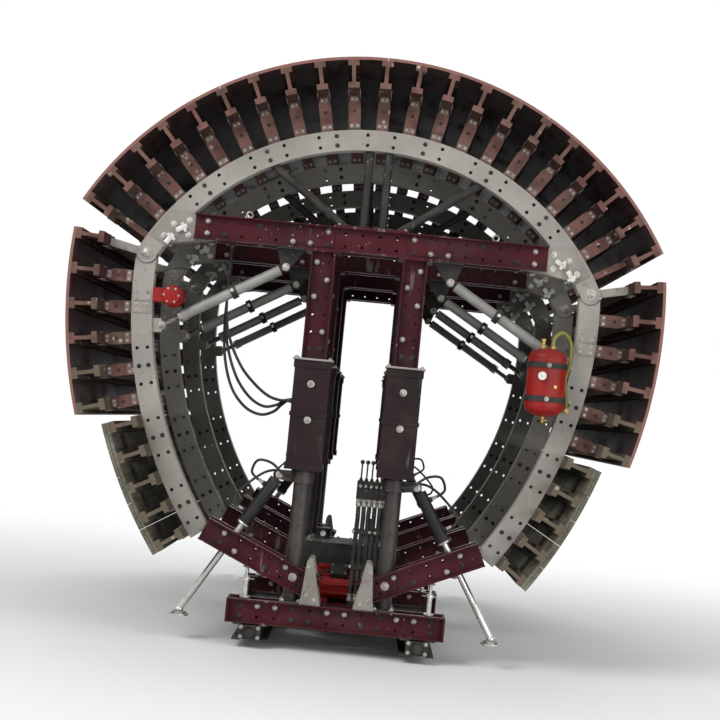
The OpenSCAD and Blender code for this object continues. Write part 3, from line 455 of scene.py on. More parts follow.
def board_material(name):
    """Sawn boards with their grain along Y, grey with cement."""
    s = Shader(name)
    r = s.polar(-SIDE_C[0], SIDE_C[1])[0]
    grain = s.noise(40, 6, stretch=(1, 0.03, 1), rough=0.7)
    s.colour = s.mix(s.span(grain, 0.3, 0.7), (104, 101, 88), (72, 69, 60))
    patch = s.span(s.noise(2.2, 6, rough=0.65, seed=2.6), 0.42, 0.68)
    s.coat(s.times(patch, 0.6), (132, 128, 115))
    s.coat(s.times(s.ends(), s.stripes(r, 0.025, 0.003)), (52, 50, 44))
    saw = s.times(s.stripes(s.axis("Y"), 0.019, 0.004), s.span(s.noise(3.0, 3, seed=8.0), 0.4, 0.6, 0.1, 0.35))
    s.bump(s.math("SUBTRACT", s.plus(grain, s.times(patch, 0.4)), s.times(saw, 1.6)), 0.5, 0.003)
    return s.done(0.82, specular=0.1)


def rubber_material(name, base, dust):
    s = Shader(name)
    haze = s.span(s.noise(7, 5, seed=1.0), 0.4, 0.7, 0, 0.45)
    s.bump(s.noise(260, 2), 0.15, 0.0008)
    s.colour = s.mix(haze, base, dust)
    return s.done(s.plus(0.5, haze), specular=0.3)


def bright_metal(name, base, rough, stain):
    """Zinc or bare steel of bolts, rods and pins."""
    s = Shader(name)
    dull = s.span(s.noise(24, 5, seed=0.8), 0.4, 0.7)
    s.colour = s.mix(s.times(dull, 0.5), base, stain)
    s.bump(s.noise(160, 3), 0.12, 0.0006)
    return s.done(s.plus(rough, s.times(dull, 0.3)), 0.75)


def rod_material(name, pitch):
    """Bright rods: with a pitch they carry the swing spindles' thread, its roots darkened as painted shade; without one
    they are ground and oiled.
    """
    s = Shader(name)
    dull = s.span(s.noise(9, 6, rough=0.65, seed=0.8), 0.45, 0.72)
    s.colour = s.mix(s.times(dull, 0.6), (186, 185, 180), (116, 102, 88))
    if pitch:
        along = s.plus(s.times(s.math("ABSOLUTE", s.axis("X")), SPINDLE_DIR[0]), s.times(s.axis("Z"), SPINDLE_DIR[1]))
        groove = s.math("SINE", s.times(along, 2 * PI / pitch))
        # painted shade: the colour is darkened in the thread's roots
        s.coat(s.span(groove, 0.1, -0.9, 0, 0.75), (58, 50, 44))
        s.bump(groove, 0.8, 0.003)
    else:
        s.bump(s.noise(30, 4, stretch=(1, 1, 0.1)), 0.1, 0.0006)
    return s.done(s.plus(0.24, s.times(dull, 0.4)), 0.8)


def plain_part(name, base, shade, rough):
    """A small moulded or painted fitting with a mottled, slightly soiled surface."""
    s = Shader(name)
    s.colour = s.mix(s.span(s.noise(40.0, 5), 0.35, 0.7), base, shade)
    s.bump(s.noise(200.0, 3), 0.15, 0.0006)
    return s.done(rough)


STEELS = (
    # finish, material, coat, its shade, dust, chipped places, how much they show, slurry, roughness, other values
    ("ring", "ring_steel", (150, 146, 139), (132, 129, 122), (150, 143, 130), (92, 72, 58), 0.5, 0.45, 0.65, {}),
    ("strap", "strap_steel", (120, 104, 100), (92, 76, 72), (132, 122, 114), (74, 52, 44), 0.5, 0.5, 0.6, {}),
    ("maroon_paint", "maroon_paint", (70, 22, 31), (49, 15, 22), (94, 72, 69), (36, 23, 21), 0.9, 0.6, 0.46,
     dict(dust_amount=0.32, specular=0.12, wear_from=0.565, edges=(2.89, BEAM_TOP, 0.175, BASE_TOP))),
    ("post", "post_paint", (62, 22, 30), (43, 16, 22), (88, 70, 67), (34, 22, 21), 0.85, 0.6, 0.5,
     dict(dust_amount=0.32, specular=0.12, wear_from=0.565)),
    ("sleeve", "sleeve_steel", (43, 28, 30), (30, 21, 22), (74, 65, 61), (34, 25, 24), 0.4, 0.3, 0.58,
     dict(dust_amount=0.38, specular=0.12)),
    ("tube", "tube_steel", (68, 64, 62), (48, 45, 44), (92, 86, 79), (66, 54, 46), 0.5, 0.3, 0.42,
     dict(dust_amount=0.35, metallic=0.35)),
    ("galvanised", "galvanised", (150, 148, 143), (122, 120, 116), (140, 132, 118), (96, 76, 58), 0.5, 0.45, 0.5,
     dict(dust_amount=0.45, metallic=0.15)),
    ("bracket", "bracket_steel", (146, 142, 134), (104, 100, 94), (140, 132, 118), (82, 62, 50), 0.8, 0.9, 0.6, {}),
    ("dark_steel", "dark_steel", (46, 44, 43), (33, 32, 32), (104, 98, 90), (70, 50, 39), 0.5, 0.4, 0.6, {}),
    ("wheel_iron", "wheel_iron", (70, 64, 60), (50, 46, 44), (120, 112, 100), (98, 66, 46), 0.7, 0.3, 0.55,
     dict(metallic=0.3)),
    ("red_paint", "red_paint", (150, 26, 21), (116, 20, 17), (126, 84, 75), (74, 44, 37), 0.55, 0.35, 0.42,
     dict(dust_amount=0.26)),
    ("black_paint", "black_paint", (34, 33, 33), (24, 24, 24), (104, 98, 90), (80, 66, 56), 0.35, 0.35, 0.5,
     dict(dust_amount=0.45)),
    ("spindle", "spindle_grey", (146, 145, 141), (122, 121, 117), (134, 128, 118), (86, 68, 56), 0.5, 0.4, 0.5,
     dict(dust_amount=0.4, metallic=0.2)),
)
M = {
    "timber": timber_material("timber", (72, 46, 43), (48, 31, 30), grey_from=2.25),
    "block": timber_material("timber_block", (94, 62, 58), (64, 42, 39)),
    "crown_skin": skin_material("crown_skin", (0, CROWN_Z), 2.371, CROWN_HALF, CROWN_PITCH),
    "side_skin": skin_material("side_skin", (-SIDE_C[0], SIDE_C[1]), 3.496, 90 + UPPER_FIRST, UPPER_PITCH),
    "board": board_material("board"),
    "hose_rubber": rubber_material("hose_rubber", (26, 26, 25), (92, 90, 82)),
    "olive_hose": rubber_material("olive_hose", (122, 118, 44), (140, 136, 96)),
    "rod": rod_material("jack_rod", 0.0),
    "thread": rod_material("threaded_rod", 0.008),
    "zinc": bright_metal("zinc_bolts", (164, 161, 154), 0.42, stain=(92, 80, 68)),
    "bare": bright_metal("bare_steel", (196, 195, 191), 0.32, stain=(138, 131, 122)),
    "brass": bright_metal("brass", (178, 146, 84), 0.35, stain=(118, 96, 60)),
    "knob": plain_part("black_moulding", (28, 28, 28), (44, 43, 41), 0.4),
    "dial": plain_part("dial_face", (214, 212, 204), (196, 193, 184), 0.35),
    "glass": plain_part("oil_glass", (176, 132, 58), (140, 104, 48), 0.12),
    "yellow": plain_part("yellow_moulding", (196, 160, 52), (160, 128, 52), 0.45),
}
for finish, *values, others in STEELS:
    M[finish] = worked_steel(*values, **others)


def listed(**groups):
    """The group of every name in the groups."""
    return {name: group for group, names in groups.items() for name in names.split()}


# Finishes of the nodes that carry over: by their slot where it has another name, and some by their own name
BY_SLOT = {"plywood": "crown_skin", "ring_steel": "ring"}
BY_NAME = listed(
    tube="telescopic_tubes", bracket="beam_brackets", post="upper_posts", sleeve="post_sleeves",
    spindle="left_barrels right_barrels", thread="left_rods right_rods",
    rod="jack_near_left jack_near_right jack_far_left jack_far_right",
    block="crown_blocks left_blocks right_blocks", side_skin="left_skin right_skin")
for part in frame["record"]["subparts"]:
    name, slot = part["node"], part["material_slot"]
    materials = nodes[name].data.materials
    materials.clear()
    materials.append(M[BY_NAME.get(name) or BY_SLOT.get(slot, slot)])


# Camera, light, floor

def aimed(eye, target):
    """A matrix at eye that looks at target."""
    return shift(*eye) @ (Vector(target) - Vector(eye)).to_track_quat("-Z", "Y").to_matrix().to_4x4()


CAMERA_ROLL = 5.5
camera = link("camera", bpy.data.cameras.new("camera"))
bpy.context.scene.camera = camera
camera.data.sensor_width = 36
camera.data.lens = 76.5
camera.data.clip_end = 200
camera.matrix_world = aimed((0.125, -13.35, 1.74), (0.0, -2.25, 2.13)) @ spin(math.radians(CAMERA_ROLL))

for name, at, look, size, watts in (
        ("key", (-7.5, -11.0, 9.5), (0, -1, 2), 7, 1300),
        ("fill", (9.5, -8.5, 5.0), (0, -1, 2), 7, 480),
        ("front", (5.0, -12.5, 0.9), (0, 0, 2), 3, 260),
        ("back", (1.0, 12.0, 8.0), (0, 1, 2), 8, 900)):
    data = bpy.data.lights.new(name, "AREA")
    data.shape, data.size, data.energy = "SQUARE", size, watts
    link(name, data).matrix_world = aimed(at, look)

WHITE, SKY = (1, 1, 1, 1), (0.42, 0.43, 0.45, 1)
world = bpy.data.worlds.new("studio")
bpy.context.scene.world = world
world.use_nodes = True
backdrop = world.node_tree.nodes["Background"]
backdrop.inputs["Strength"].default_value = 1.0
ws = Nodes(world.node_tree)
ws.put(backdrop.inputs["Color"], ws.mix(ws.seen(), SKY, WHITE))

FLOOR_HALF = 60
floor_mesh = bpy.data.meshes.new("floor")
floor_mesh.from_pydata([(x * FLOOR_HALF, y * FLOOR_HALF, 0) for x, y in ((-1, -1), (1, -1), (1, 1), (-1, 1))],
                       [], [(0, 1, 2, 3)])
floor = link("floor", floor_mesh)
# The floor turns into the white backdrop well away from the object, for rays that see it
fs = Shader("pale_floor")
fs.colour = fs.mix(fs.noise(0.6, 3), (0.80, 0.80, 0.79, 1), (0.84, 0.84, 0.83, 1))
fs.done(0.9)
away = fs.node("VectorMath", {0: fs.coord}, operation="LENGTH").outputs["Value"]
white = fs.node("Emission", {"Color": WHITE, "Strength": 1.0}).outputs[0]
far = fs.times(fs.seen(), fs.span(away, 2.6, 9.0))
blend = fs.node("MixShader", {0: far, 1: fs.bsdf.outputs[0], 2: white})
fs.put(fs.tree.nodes["Material Output"].inputs["Surface"], blend.outputs[0])
floor_mesh.materials.append(fs.mat)

bpy.context.scene.view_settings.view_transform = "Standard"


# Fittings are gathered by body, group and finish, and made into pieces at the end

SLOT_OF = listed(
    galvanised="zinc bare brass strap dial glass tube bracket", dark_steel="sleeve", ring_steel="ring",
    black_paint="knob", hose_rubber="yellow olive_hose")
KIT = {}
SIDES = ((-1, "left"), (1, "right"))
X_ENDS, Y_ENDS = ((-1, "-x"), (1, "x")), ((-1, "-y"), (1, "y"))
FACES = [(y, face, ax) for y in FRAME_YS for face, ax in Y_ENDS]
END_YS = (FRAME_YS[0], FRAME_YS[-1])


def into(body, group, finish):
    return KIT.setdefault((body, group, finish), Solid())


crown, carriage = partial(into, "crown"), partial(into, "carriage")


def bolt_row(solid, s, y, ax, places, d):
    for x, z in places:
        solid.bolt(place(s * x, y, z, ax, rng.random()), d)


def pin_row(solid, s, y, ax, places):
    """Round heads of lock pins with their cotter rings."""
    r, length = 0.012, 0.03
    head = [(r * 1.45, 0), (r * 1.45, 0.003), (r, 0.004), (r, length - 0.003), (r * 0.8, length)]
    for x, z in places:
        at = place(s * x, y, z, ax, rng.random() * 6)
        solid.lathe(head, at, 14)
        solid.tube([at @ Vector((0.018 * math.cos(t), 0.018 * math.sin(t), length * 0.7))
                    for t in (k * PI / 5 for k in range(11))], 0.002, 5)


def fitting(body, at, r, length=0.05, finish="zinc"):
    """A hose end: a crimped ferrule that stands on a hexagon nut."""
    s = into(body, "hose_ends", finish)
    s.lathe([(r * 1.35, 0), (r * 1.5, 0.002), (r * 1.5, 0.014), (r * 1.35, 0.016)], at, 6)
    s.lathe([(r * 1.25, 0.016), (r * 1.3, 0.02), (r * 1.16, 0.024), (r * 1.3, 0.028), (r * 1.16, 0.033),
             (r * 1.3, 0.038), (r * 1.25, length)], at, 16)


def gauge(body, at, r):
    """A pressure gauge: rim, pale face with a plain needle, and its stem."""
    rim = into(body, "gauge_rims", "bare")
    rim.lathe([(r * 0.4, 0), (r * 0.98, 0.006), (r, 0.01), (r, 0.022)], at, 28)
    rim.ring([(r, 0.02), (r, 0.026), (r * 0.88, 0.026), (r * 0.88, 0.02)], at, 28)
    into(body, "gauge_faces", "dial").lathe([(r * 0.88, 0.02), (r * 0.88, 0.0235)], at, 28)
    into(body, "gauge_needles", "knob").block((0.002, r * 0.9, 0.0015), at @ spin(0.8) @ shift(0, r * 0.2, 0.0245))


def castle_nut(body, group, at, r, h):
    nut = into(body, group, "zinc")
    nut.lathe([(r * 1.28, -0.003), (r * 1.28, 0.001)], at, 28)
    nut.lathe([(0, 0), (r * 0.96, 0.001), (r, 0.004), (r, h * 0.62), (r * 0.9, h * 0.68)], at, 6)
    for t in around(6):
        nut.block((0.4 * r, 0.34 * r, 0.34 * h), at @ spin(t) @ shift(0.6 * r, 0, h * 0.83))
    nut.lathe([(r * 0.56, h * 0.6), (r * 0.56, h), (r * 0.48, h * 1.06)], at, 16)
    pin = [at @ Vector((x, 0, h * 0.86)) for x in (-r * 1.05, 0, r * 1.05)]
    into(body, group + "_split_pins", "bare").tube(pin, r * 0.09, 6)


# Rings: bolts over the spacers, splice plates of the side rings, castle nuts on the hinge pins

RING_BOLT_ROWS = (-0.034, 0.034)
for y, face, ax in FACES:
    at_y = y + face * RING_W / 2
    for a in (-42, -26, -10, 10, 26, 42):
        bolt_row(crown("ring_bolts", "dark_steel"), 1, at_y, ax,
                 [crown_pt(RING_MID + dr, a) for dr in RING_BOLT_ROWS], 0.013)
    for s, hand in SIDES:
        body = hand + "_side"
        for a in (12, 22, 32):
            bolt_row(into(body, "ring_bolts", "dark_steel"), 1, at_y, ax,
                     [side_pt(s, SIDE_MID + dr, a) for dr in RING_BOLT_ROWS], 0.013)
        for a in (2.2, 3.9):
            x, z = side_pt(s, SIDE_MID, a)
            at = shift(x, at_y + face * 0.0035, z) @ spin(s * math.radians(a), "Y")
            into(body, "splice_plates", "ring").block((0.128, 0.007, 0.083), at, 0.002)
            for dx, dz in corners(0.04, 0.022):
                p = at @ Vector((dx, face * 0.0035, dz))
                into(body, "splice_bolts", "zinc").bolt(place(*p, ax, rng.random()), 0.011)
        castle_nut("crown", "hinge_nuts", place(s * HINGE[0], y + face * 0.0695, HINGE[1], ax, 0.3), 0.033, 0.024)


# Timber: straps on the spacer blocks, clamps on the girders' feet

BLOCK_FACE = 0.055


def radial(x, z, away, y):
    """A frame at (x, y, z) with local Z out along away, local Y along the tunnel and local X along the tangent."""
    out = Vector((away[0], 0, away[1])).normalized()
    along = Vector((0, 1, 0))
    m = Matrix((along.cross(out), along, out)).transposed().to_4x4()
    m.translation = (x, y, z)
    return m


def block_straps(body, m, height):
    """On both faces of a spacer block: straps with bolts at its head and foot, a coach screw between them."""
    for face in (-1, 1):
        flip = spin(-face * PI / 2, "X")
        for z0, z1, w in ((0.012, 0.048, 0.037), (height - 0.042, height - 0.006, 0.026)):
            mid = (z0 + z1) / 2
            into(body, "straps", "strap").block((2 * w, 0.005, z1 - z0), m @ shift(0, face * 0.0575, mid), 0.0015)
            for x in (-w * 0.6, w * 0.6):
                into(body, "strap_bolts", "zinc").bolt(m @ shift(x, face * 0.06, mid) @ flip, 0.008, nut=False)
        screw = m @ shift(0, face * BLOCK_FACE, height * 0.55) @ flip
        into(body, "coach_screws", "dark_steel").bolt(screw, 0.01, nut=False)


def girder_clamps(body, m, foot):
    """Bent clamps that hold a girder's lower flange on both sides of each frame."""
    for face in (-1, 1):
        for side in (-1, 1):
            base = m @ shift(side * 0.034, face * 0.068, foot)
            clamp = into(body, "girder_clamps", "strap")
            clamp.block((0.026, 0.022, 0.05), base @ shift(0, 0, 0.025), 0.002)
            clamp.block((0.036, 0.022, 0.006), base @ shift(-side * 0.004, 0, 0.047), 0.0015)
            bolt = base @ shift(0, face * 0.011, 0.022) @ spin(-face * PI / 2, "X")
            into(body, "clamp_bolts", "zinc").bolt(bolt, 0.009, nut=False)


for y in FRAME_YS:
    for i in range(CROWN_COUNT):
        x, z = crown_pt(RING_OUT, -CROWN_HALF + i * CROWN_PITCH)
        m = radial(x, z, (x, z - CROWN_Z), y)
        if 0 < i < CROWN_COUNT - 1:
            block_straps("crown", m, CROWN_BLOCK_H)
        girder_clamps("crown", m, CROWN_BLOCK_H)
    for s, hand in SIDES:
        for first, pitch, count, block_h in ((UPPER_FIRST, UPPER_PITCH, UPPER_COUNT, SIDE_BLOCK_H),
                                             (LOWER_FIRST, LOWER_PITCH, LOWER_COUNT, 0.0)):
            for i in range(count):
                c = math.radians(first + i * pitch)
                x, z = side_pt(s, SIDE_OUT, first + i * pitch)
                m = radial(x, z, (s * math.cos(c), -math.sin(c)), y)
                if block_h and i > 0:
                    block_straps(hand + "_side", m, block_h)
                girder_clamps(hand + "_side", m, block_h)


# Gantry: plates, bolts and lock pins in the holes of the channels. Tables give (x, z), or (u, v) along and
# across a brace, for the right half.

BEAM_PINS = [(x, BEAM_Z + dz) for x, dz in (
    (0.4375, -0.045), (0.5625, -0.045), (0.3125, 0.045), (1.1875, 0.045), (1.1875, -0.045))]
BEAM_BOLTS = [(x, BEAM_Z + dz) for x, dz in ((0.3125, -0.045), (0.4375, 0.045), (0.8125, 0.045), (1.0625, -0.045))]
POST_PINS = [(POST_X + dx, z) for dx, z in (
    (0.0425, 2.8025), (-0.0425, 2.6775), (0.0425, 2.5525), (-0.0425, 2.3025))]
POST_BOLTS = [(POST_X + dx, 2.1775) for dx in (-0.0425, 0.0425)]
BRACKET_BOLTS = ((1.325, 3.02), (1.325, 2.915), (1.4375, 2.983), (1.501, 2.893))
WEDGES = ((1.375, 2.955, 0.5), (1.455, 2.872, 0.95))  # x, z and turn
BASE_PINS = [(x, BASE_Z + 0.04) for x in (0.0625, 0.4375, 0.5625)]
BASE_BOLTS = [(x, BASE_Z + dz) for x, dz in (
    (0.3125, 0.04), (0.3125, -0.04), (0.6875, 0.04), (0.6875, -0.04), (0.1875, -0.04))]
BRACE_PINS = ((0.3125, 0.04), (0.1875, -0.04), (-0.1875, 0.04))
BRACE_BOLTS = ((0.3125, -0.04), (-0.0625, -0.04))
BRACE_PIN_XS, BRACE_SLOPE = (0.185, POST_X), 0.437870
GUSSET = [(0.118, 0.346), (0.27, 0.346), (0.258, 0.40), (0.236, 0.66), (0.216, 0.685), (0.19, 0.68), (0.15, 0.50)]
GUSSET_BOLTS = ((0.222, 0.62), (0.222, 0.42), (0.165, 0.385))


def brace_at(u, v):
    """A place on the right V brace, u along it from its middle and v across it."""
    mx, mz, dx, dz = 0.5775, 0.635, 0.915970, 0.401091
    return mx + u * dx - v * dz, mz + u * dz + v * dx


for (y, face, ax), s in product(FACES, (-1, 1)):
    web = y + face * WEB_Y
    pins, bolts = crown("lock_pins", "zinc"), crown("gantry_bolts", "dark_steel")
    pin_row(pins, s, web, ax, BEAM_PINS)
    bolt_row(bolts, s, web, ax, BEAM_BOLTS, 0.017)
    crown("gusset_plates", "maroon_paint").block(
        (0.215, 0.008, 0.13), place(s * 0.375, web + face * 0.003, BEAM_Z), 0.002)
    pin_row(pins, s, web, ax, POST_PINS)
    bolt_row(bolts, s, web, ax, POST_BOLTS, 0.017)
    for z in (1.66, 1.92):
        crown("sleeve_pins", "zinc").lathe(
            [(0.026, 0), (0.026, 0.005), (0.015, 0.007), (0.015, 0.024), (0.012, 0.028)],
            place(s * POST_X, y + face * MEMBER_W / 2, z, ax, 0.4), 20)
    # Beam ends: bolts and wedge clamps on the bright brackets
    bolt_row(crown("bracket_bolts", "bare"), s, y + face * 0.0647, ax, BRACKET_BOLTS, 0.018)
    for x, z, a in WEDGES:
        clamp = shift(s * x, y + face * 0.078, z) @ spin(s * a, "Y")
        wedge = crown("wedge_clamps", "bare")
        wedge.block((0.085, 0.026, 0.034), clamp, 0.003)
        wedge.block((0.022, 0.036, 0.075), clamp @ shift(0.018, 0, 0), 0.003)
    bolts, pins = carriage("base_bolts", "dark_steel"), carriage("base_lock_pins", "zinc")
    pin_row(pins, s, web, ax, BASE_PINS)
    bolt_row(bolts, s, web, ax, BASE_BOLTS, 0.016)
    pin_row(pins, s, web, ax, [brace_at(u, v) for u, v in BRACE_PINS])
    bolt_row(bolts, s, web, ax, [brace_at(u, v) for u, v in BRACE_BOLTS], 0.016)
    # Pale gussets beside the braces' inner ends, each on a lip that stands on the base beam's edge
    plate = [(s * gx, gz) for gx, gz in (GUSSET if s > 0 else GUSSET[::-1])]
    out = y + face * (MEMBER_W / 2 + 0.006)
    gusset = carriage("brace_gussets", "bracket")
    gusset.plate(plate, -0.005, 0.005, shift(0, out, 0) @ spin(PI / 2, "X"), 0.0015)
    gusset.block((0.15, 0.022, 0.008), place(s * 0.194, out - face * 0.006, BASE_TOP + 0.004), 0.002)
    bolt_row(carriage("gusset_bolts", "zinc"), s, out + face * 0.005, ax, GUSSET_BOLTS, 0.013)
    for x, z in GUSSET_BOLTS:
        carriage("gusset_spacers", "dark_steel").tube([(s * x, web, z), (s * x, out, z)], 0.014, 14)
    for x in BRACE_PIN_XS:
        z = 0.45 + (x - 0.155) * BRACE_SLOPE
        castle_nut("carriage", "brace_nuts", place(s * x, y + face * 0.0775, z, ax, 0.5), 0.024, 0.02)

SLEEVE_X, SLEEVE_Y, BAND_T, BAND_SUNK = 0.1345, 0.132, 0.008, 0.003  # half widths of a sleeve; its bands
PROP_X = 0.665
for y, s in product(FRAME_YS, (-1, 1)):
    px = s * POST_X
    for z, h in ((1.325, 0.05), (1.70, 0.03), (2.06, 0.05)):
        for end in (1, -1):
            band = crown("sleeve_bands", "sleeve")
            band.block((2 * SLEEVE_X, BAND_T, h), place(px, y + end * (SLEEVE_Y - BAND_SUNK), z), 0.002)
            band.block((BAND_T, 2 * SLEEVE_Y, h), place(px + end * (SLEEVE_X - BAND_SUNK), y, z), 0.002)
    crown("post_plates", "ring").block((0.29, 0.29, 0.014), place(px, y, 2.097), 0.003)
    crown("post_head_plates", "maroon_paint").block((0.25, 0.262, 0.012), place(px, y, 2.883), 0.002)
    for dx, dy in corners(0.12, 0.118):
        crown("plate_bolts", "zinc").bolt(place(px + dx, y + dy, 2.104, "z", rng.random()), 0.014)
    for dx, dy in corners(0.06, 0.1):
        carriage("foot_bolts", "zinc").bolt(place(px + dx, y + dy, 0.36, "z", rng.random()), 0.016)
    # Screw props between the base beam and the braces
    prop, x, z = carriage("screw_props", "bare"), s * PROP_X, BASE_TOP + 0.134
    prop.lathe([(0.038, 0), (0.038, 0.01), (0.019, 0.014), (0.019, 0.12), (0.027, 0.123), (0.027, 0.145),
                (0.0135, 0.148), (0.0135, 0.212), (0.03, 0.214), (0.034, 0.224), (0, 0.232)],
               place(x, y, BASE_TOP), 20)
    prop.tube([(x - 0.055, y, z), (x + 0.055, y, z)], 0.006, 8)
    carriage("tube_welds", "dark_steel").torus(place(px, y, 0.361), 0.0605, 0.005, 32, 6)
    # Bushings of the lock pin holes up the telescopic tubes, each hole filled by a black disc as painted shade
    for z in (0.75, 0.90, 1.05, 1.16):
        for face, ax in Y_ENDS:
            at = place(px, y + face * 0.0575, z, ax)
            carriage("tube_bushings", "tube").ring(
                [(0.011, 0), (0.018, 0), (0.018, 0.007), (0.011, 0.007)], at, 20)
            # painted shade: a black disc that stands for the dark inside of the hole
            carriage("tube_holes", "knob").lathe([(0.0112, 0), (0.0112, 0.0035)], at, 20)
    # Lifting eyes and the feet of the struts on the top beam
    eye, at = crown("lifting_eyes", "zinc"), place(s * 0.9, y, BEAM_TOP)
    eye.lathe([(0.028, 0), (0.028, 0.008), (0.016, 0.014)], at, 20)
    eye.torus(at @ shift(0, 0, 0.034) @ spin(PI / 2, "X"), 0.022, 0.007, 24, 8)
    for x, r in ((0.07, 0.031), (0.2, 0.032)):
        crown("strut_welds", "dark_steel").torus(place(s * x, y, 3.0835), r, 0.004, 24, 6)
    for dy in (-0.1, 0.1):
        crown("strut_plate_bolts", "zinc").bolt(place(s * 0.24, y + dy, 3.082, "z", rng.random()), 0.013)


# Swing spindles: tommy bars, collars and lock nuts on the barrels

COLLAR = [(0.037, -0.022), (0.05, -0.022), (0.053, -0.018), (0.053, 0.018), (0.05, 0.022), (0.037, 0.022)]
LOCK_NUT = [(0.0262, 0), (0.042, 0), (0.044, 0.003), (0.044, 0.02), (0.042, 0.023), (0.0262, 0.023)]
KNOB = [(0, -0.006), (0.012, -0.005), (0.014, 0), (0.012, 0.01), (0, 0.012)]
SPINDLE_L, BAR_HALF = 0.9975, 0.15
COLLAR_AT, LOCK_AT, WELD_AT = 0.42, 0.8375, 0.043  # places along a barrel


def spindle_at(s, y, t):
    (x, z), (dx, dz) = SPINDLE_A, SPINDLE_DIR
    return place(s * (x + dx * t), y, z + dz * t, (s * dx, 0, dz))


for (s, hand), y in product(SIDES, FRAME_YS):
    body = hand + "_barrel"
    at = spindle_at(s, y, COLLAR_AT)
    into(body, "collars", "dark_steel").ring(COLLAR, at, 28)
    x, _, z = at.translation
    into(body, "tommy_bars", "bare").tube([(x, y + end * BAR_HALF, z) for end in (-1, 0, 1)], 0.009, 12)
    for end, ax in Y_ENDS:
        into(body, "bar_knobs", "bare").lathe(KNOB, place(x, y + end * BAR_HALF, z, ax), 14)
    into(body, "lock_nuts", "zinc").ring(LOCK_NUT, spindle_at(s, y, LOCK_AT), 6)
    into(body, "barrel_welds", "dark_steel").torus(spindle_at(s, y, WELD_AT), 0.036, 0.005, 24, 6)
    lug = spindle_at(s, y, SPINDLE_L).translation
    for face, ax in Y_ENDS:
        pin_at = place(s * SPINDLE_A[0], y + face * LUG_HALF, SPINDLE_A[1], ax, 0.2)
        castle_nut("crown", "spindle_nuts", pin_at, 0.022, 0.016)
        castle_nut(hand + "_side", "lug_nuts", place(lug.x, y + face * LUG_HALF, lug.z, ax, 0.2), 0.02, 0.015)


# Foot jacks: glands, ports and hoses on the barrels, ball sockets on the feet

# Place of a port along the barrel, side of its hose, and the hose's way (x, share of the side, z) to the sleeve
JACK_HOSES = ((0.12, -1, ((0.70, 0.03, 1.26), (0.66, 0.07, 1.34), (0.56, 0.098, 1.33))),
              (0.36, 1, ((0.80, 0.03, 1.08), (0.66, 0.07, 1.22), (0.56, 0.098, 1.27))))
JACK_HOSE_END = ((0.47, 0.105, 1.262), (0.425, 0.085, 1.245), (0.386, 0.066, 1.243))
FOOT_X, FOOT_TOP = 1.13, 0.189
GLAND = [(0.0265, 0), (0.046, 0), (0.048, 0.003), (0.048, 0.016), (0.044, 0.02), (0.0265, 0.02)]


def jack_at(s, y, t, away=0.0):
    """A place along a foot jack from its top pin, and away from its axis to the outside."""
    (x, z), (dx, dz) = JACK_TOP, JACK_DIR
    return s * (x + dx * t - dz * away), y, z + dz * t + dx * away


for (s, hand), (y, tag) in product(SIDES, zip(END_YS, "nf")):
    line, outward = (s * JACK_DIR[0], 0, JACK_DIR[1]), (-s * JACK_DIR[1], 0, JACK_DIR[0])
    carriage("jack_glands", "zinc").ring(GLAND, place(*jack_at(s, y, 0.43), line), 8)
    for t, dy, way in JACK_HOSES:
        port = place(*jack_at(s, y, t, 0.043), outward)
        carriage("jack_ports", "black_paint").lathe(stub(0.02, 0.018, 0.004, 0.004), port, 16)
        fitting("carriage", place(*jack_at(s, y, t, 0.06), outward), 0.0095, 0.035)
        carriage("jack_hoses", "hose_rubber").hose(
            [jack_at(s, y, t, 0.085), jack_at(s, y, t, 0.13)]
            + [(s * hx, y + dy * share, hz) for hx, share, hz in way + JACK_HOSE_END], 0.0095)
    for face, ax in Y_ENDS:
        pin_at = place(s * JACK_TOP[0], y + face * LUG_HALF, JACK_TOP[1], ax, 0.2)
        castle_nut("carriage", "jack_nuts", pin_at, 0.022, 0.016)
    body = "jack_" + tag + hand[0]
    at = place(s * FOOT_X, y, FOOT_TOP)
    into(body, "socket", "galvanised").ring([(0.033, 0), (0.045, 0), (0.041, 0.014), (0.0315, 0.016)], at, 28)
    for t in around(4, PI / 4):
        nail = at @ shift(0.056 * math.cos(t), 0.056 * math.sin(t), 0)
        into(body, "foot_nails", "dark_steel").bolt(nail, 0.009, nut=False)


# Receiver with its fittings

body = "right_side"
for dz in (-0.176, 0.176):
    into(body, "receiver_seams", "red_paint").torus(place(RX, RY, RZ + dz), 0.1375, 0.0035, 64, 6)
for dz in (-0.12, 0.12):
    into(body, "strap_bolts_2", "zinc").bolt(place(RX, RY - 0.146, RZ + dz, "-y"), 0.014)
    for dx in (0.165, 0.195):
        into(body, "strap_bolts_2", "zinc").bolt(place(RX + dx, FRAME_YS[0] - 0.053, RZ + dz, "-y"), 0.013)
top = RZ + 0.245
brass = into(body, "receiver_fittings", "brass")
brass.lathe([(0.02, -0.006), (0.02, 0.02), (0.013, 0.024), (0.013, 0.05), (0.018, 0.052), (0.018, 0.066),
             (0.008, 0.072)], place(RX - 0.04, RY, top - 0.004), 16)
brass.lathe([(0.024, -0.008), (0.024, 0.018), (0.016, 0.024)], place(RX + 0.03, RY, top - 0.002), 6)
brass.lathe([(0.014, 0), (0.014, 0.02), (0.009, 0.026), (0.009, 0.045)], place(RX, RY, RZ - 0.243, "-z"), 12)
into(body, "receiver_cock", "yellow").block((0.05, 0.012, 0.006), place(RX + 0.015, RY, RZ - 0.27), 0.002)
gauge(body, place(RX - 0.045, RY - 0.137, RZ + 0.04, "-y"), 0.03)
into(body, "receiver_plug", "brass").lathe(
    stub(0.016, 0.018, 0.004, 0.004), place(RX + 0.05, RY - 0.126, RZ - 0.03, (0.36, -0.93, 0)), 6)
into(body, "air_hose", "olive_hose").hose(off((RX, RY, top), [
    (0.03, 0, 0.02), (0.04, 0.005, 0.08), (0.10, 0.03, 0.12), (0.165, 0.07, 0.05), (0.17, 0.09, -0.10),
    (0.150, 0.10, -0.22), (0.168, 0.105, -0.34), (0.175, 0.115, -0.42)]), 0.0125)
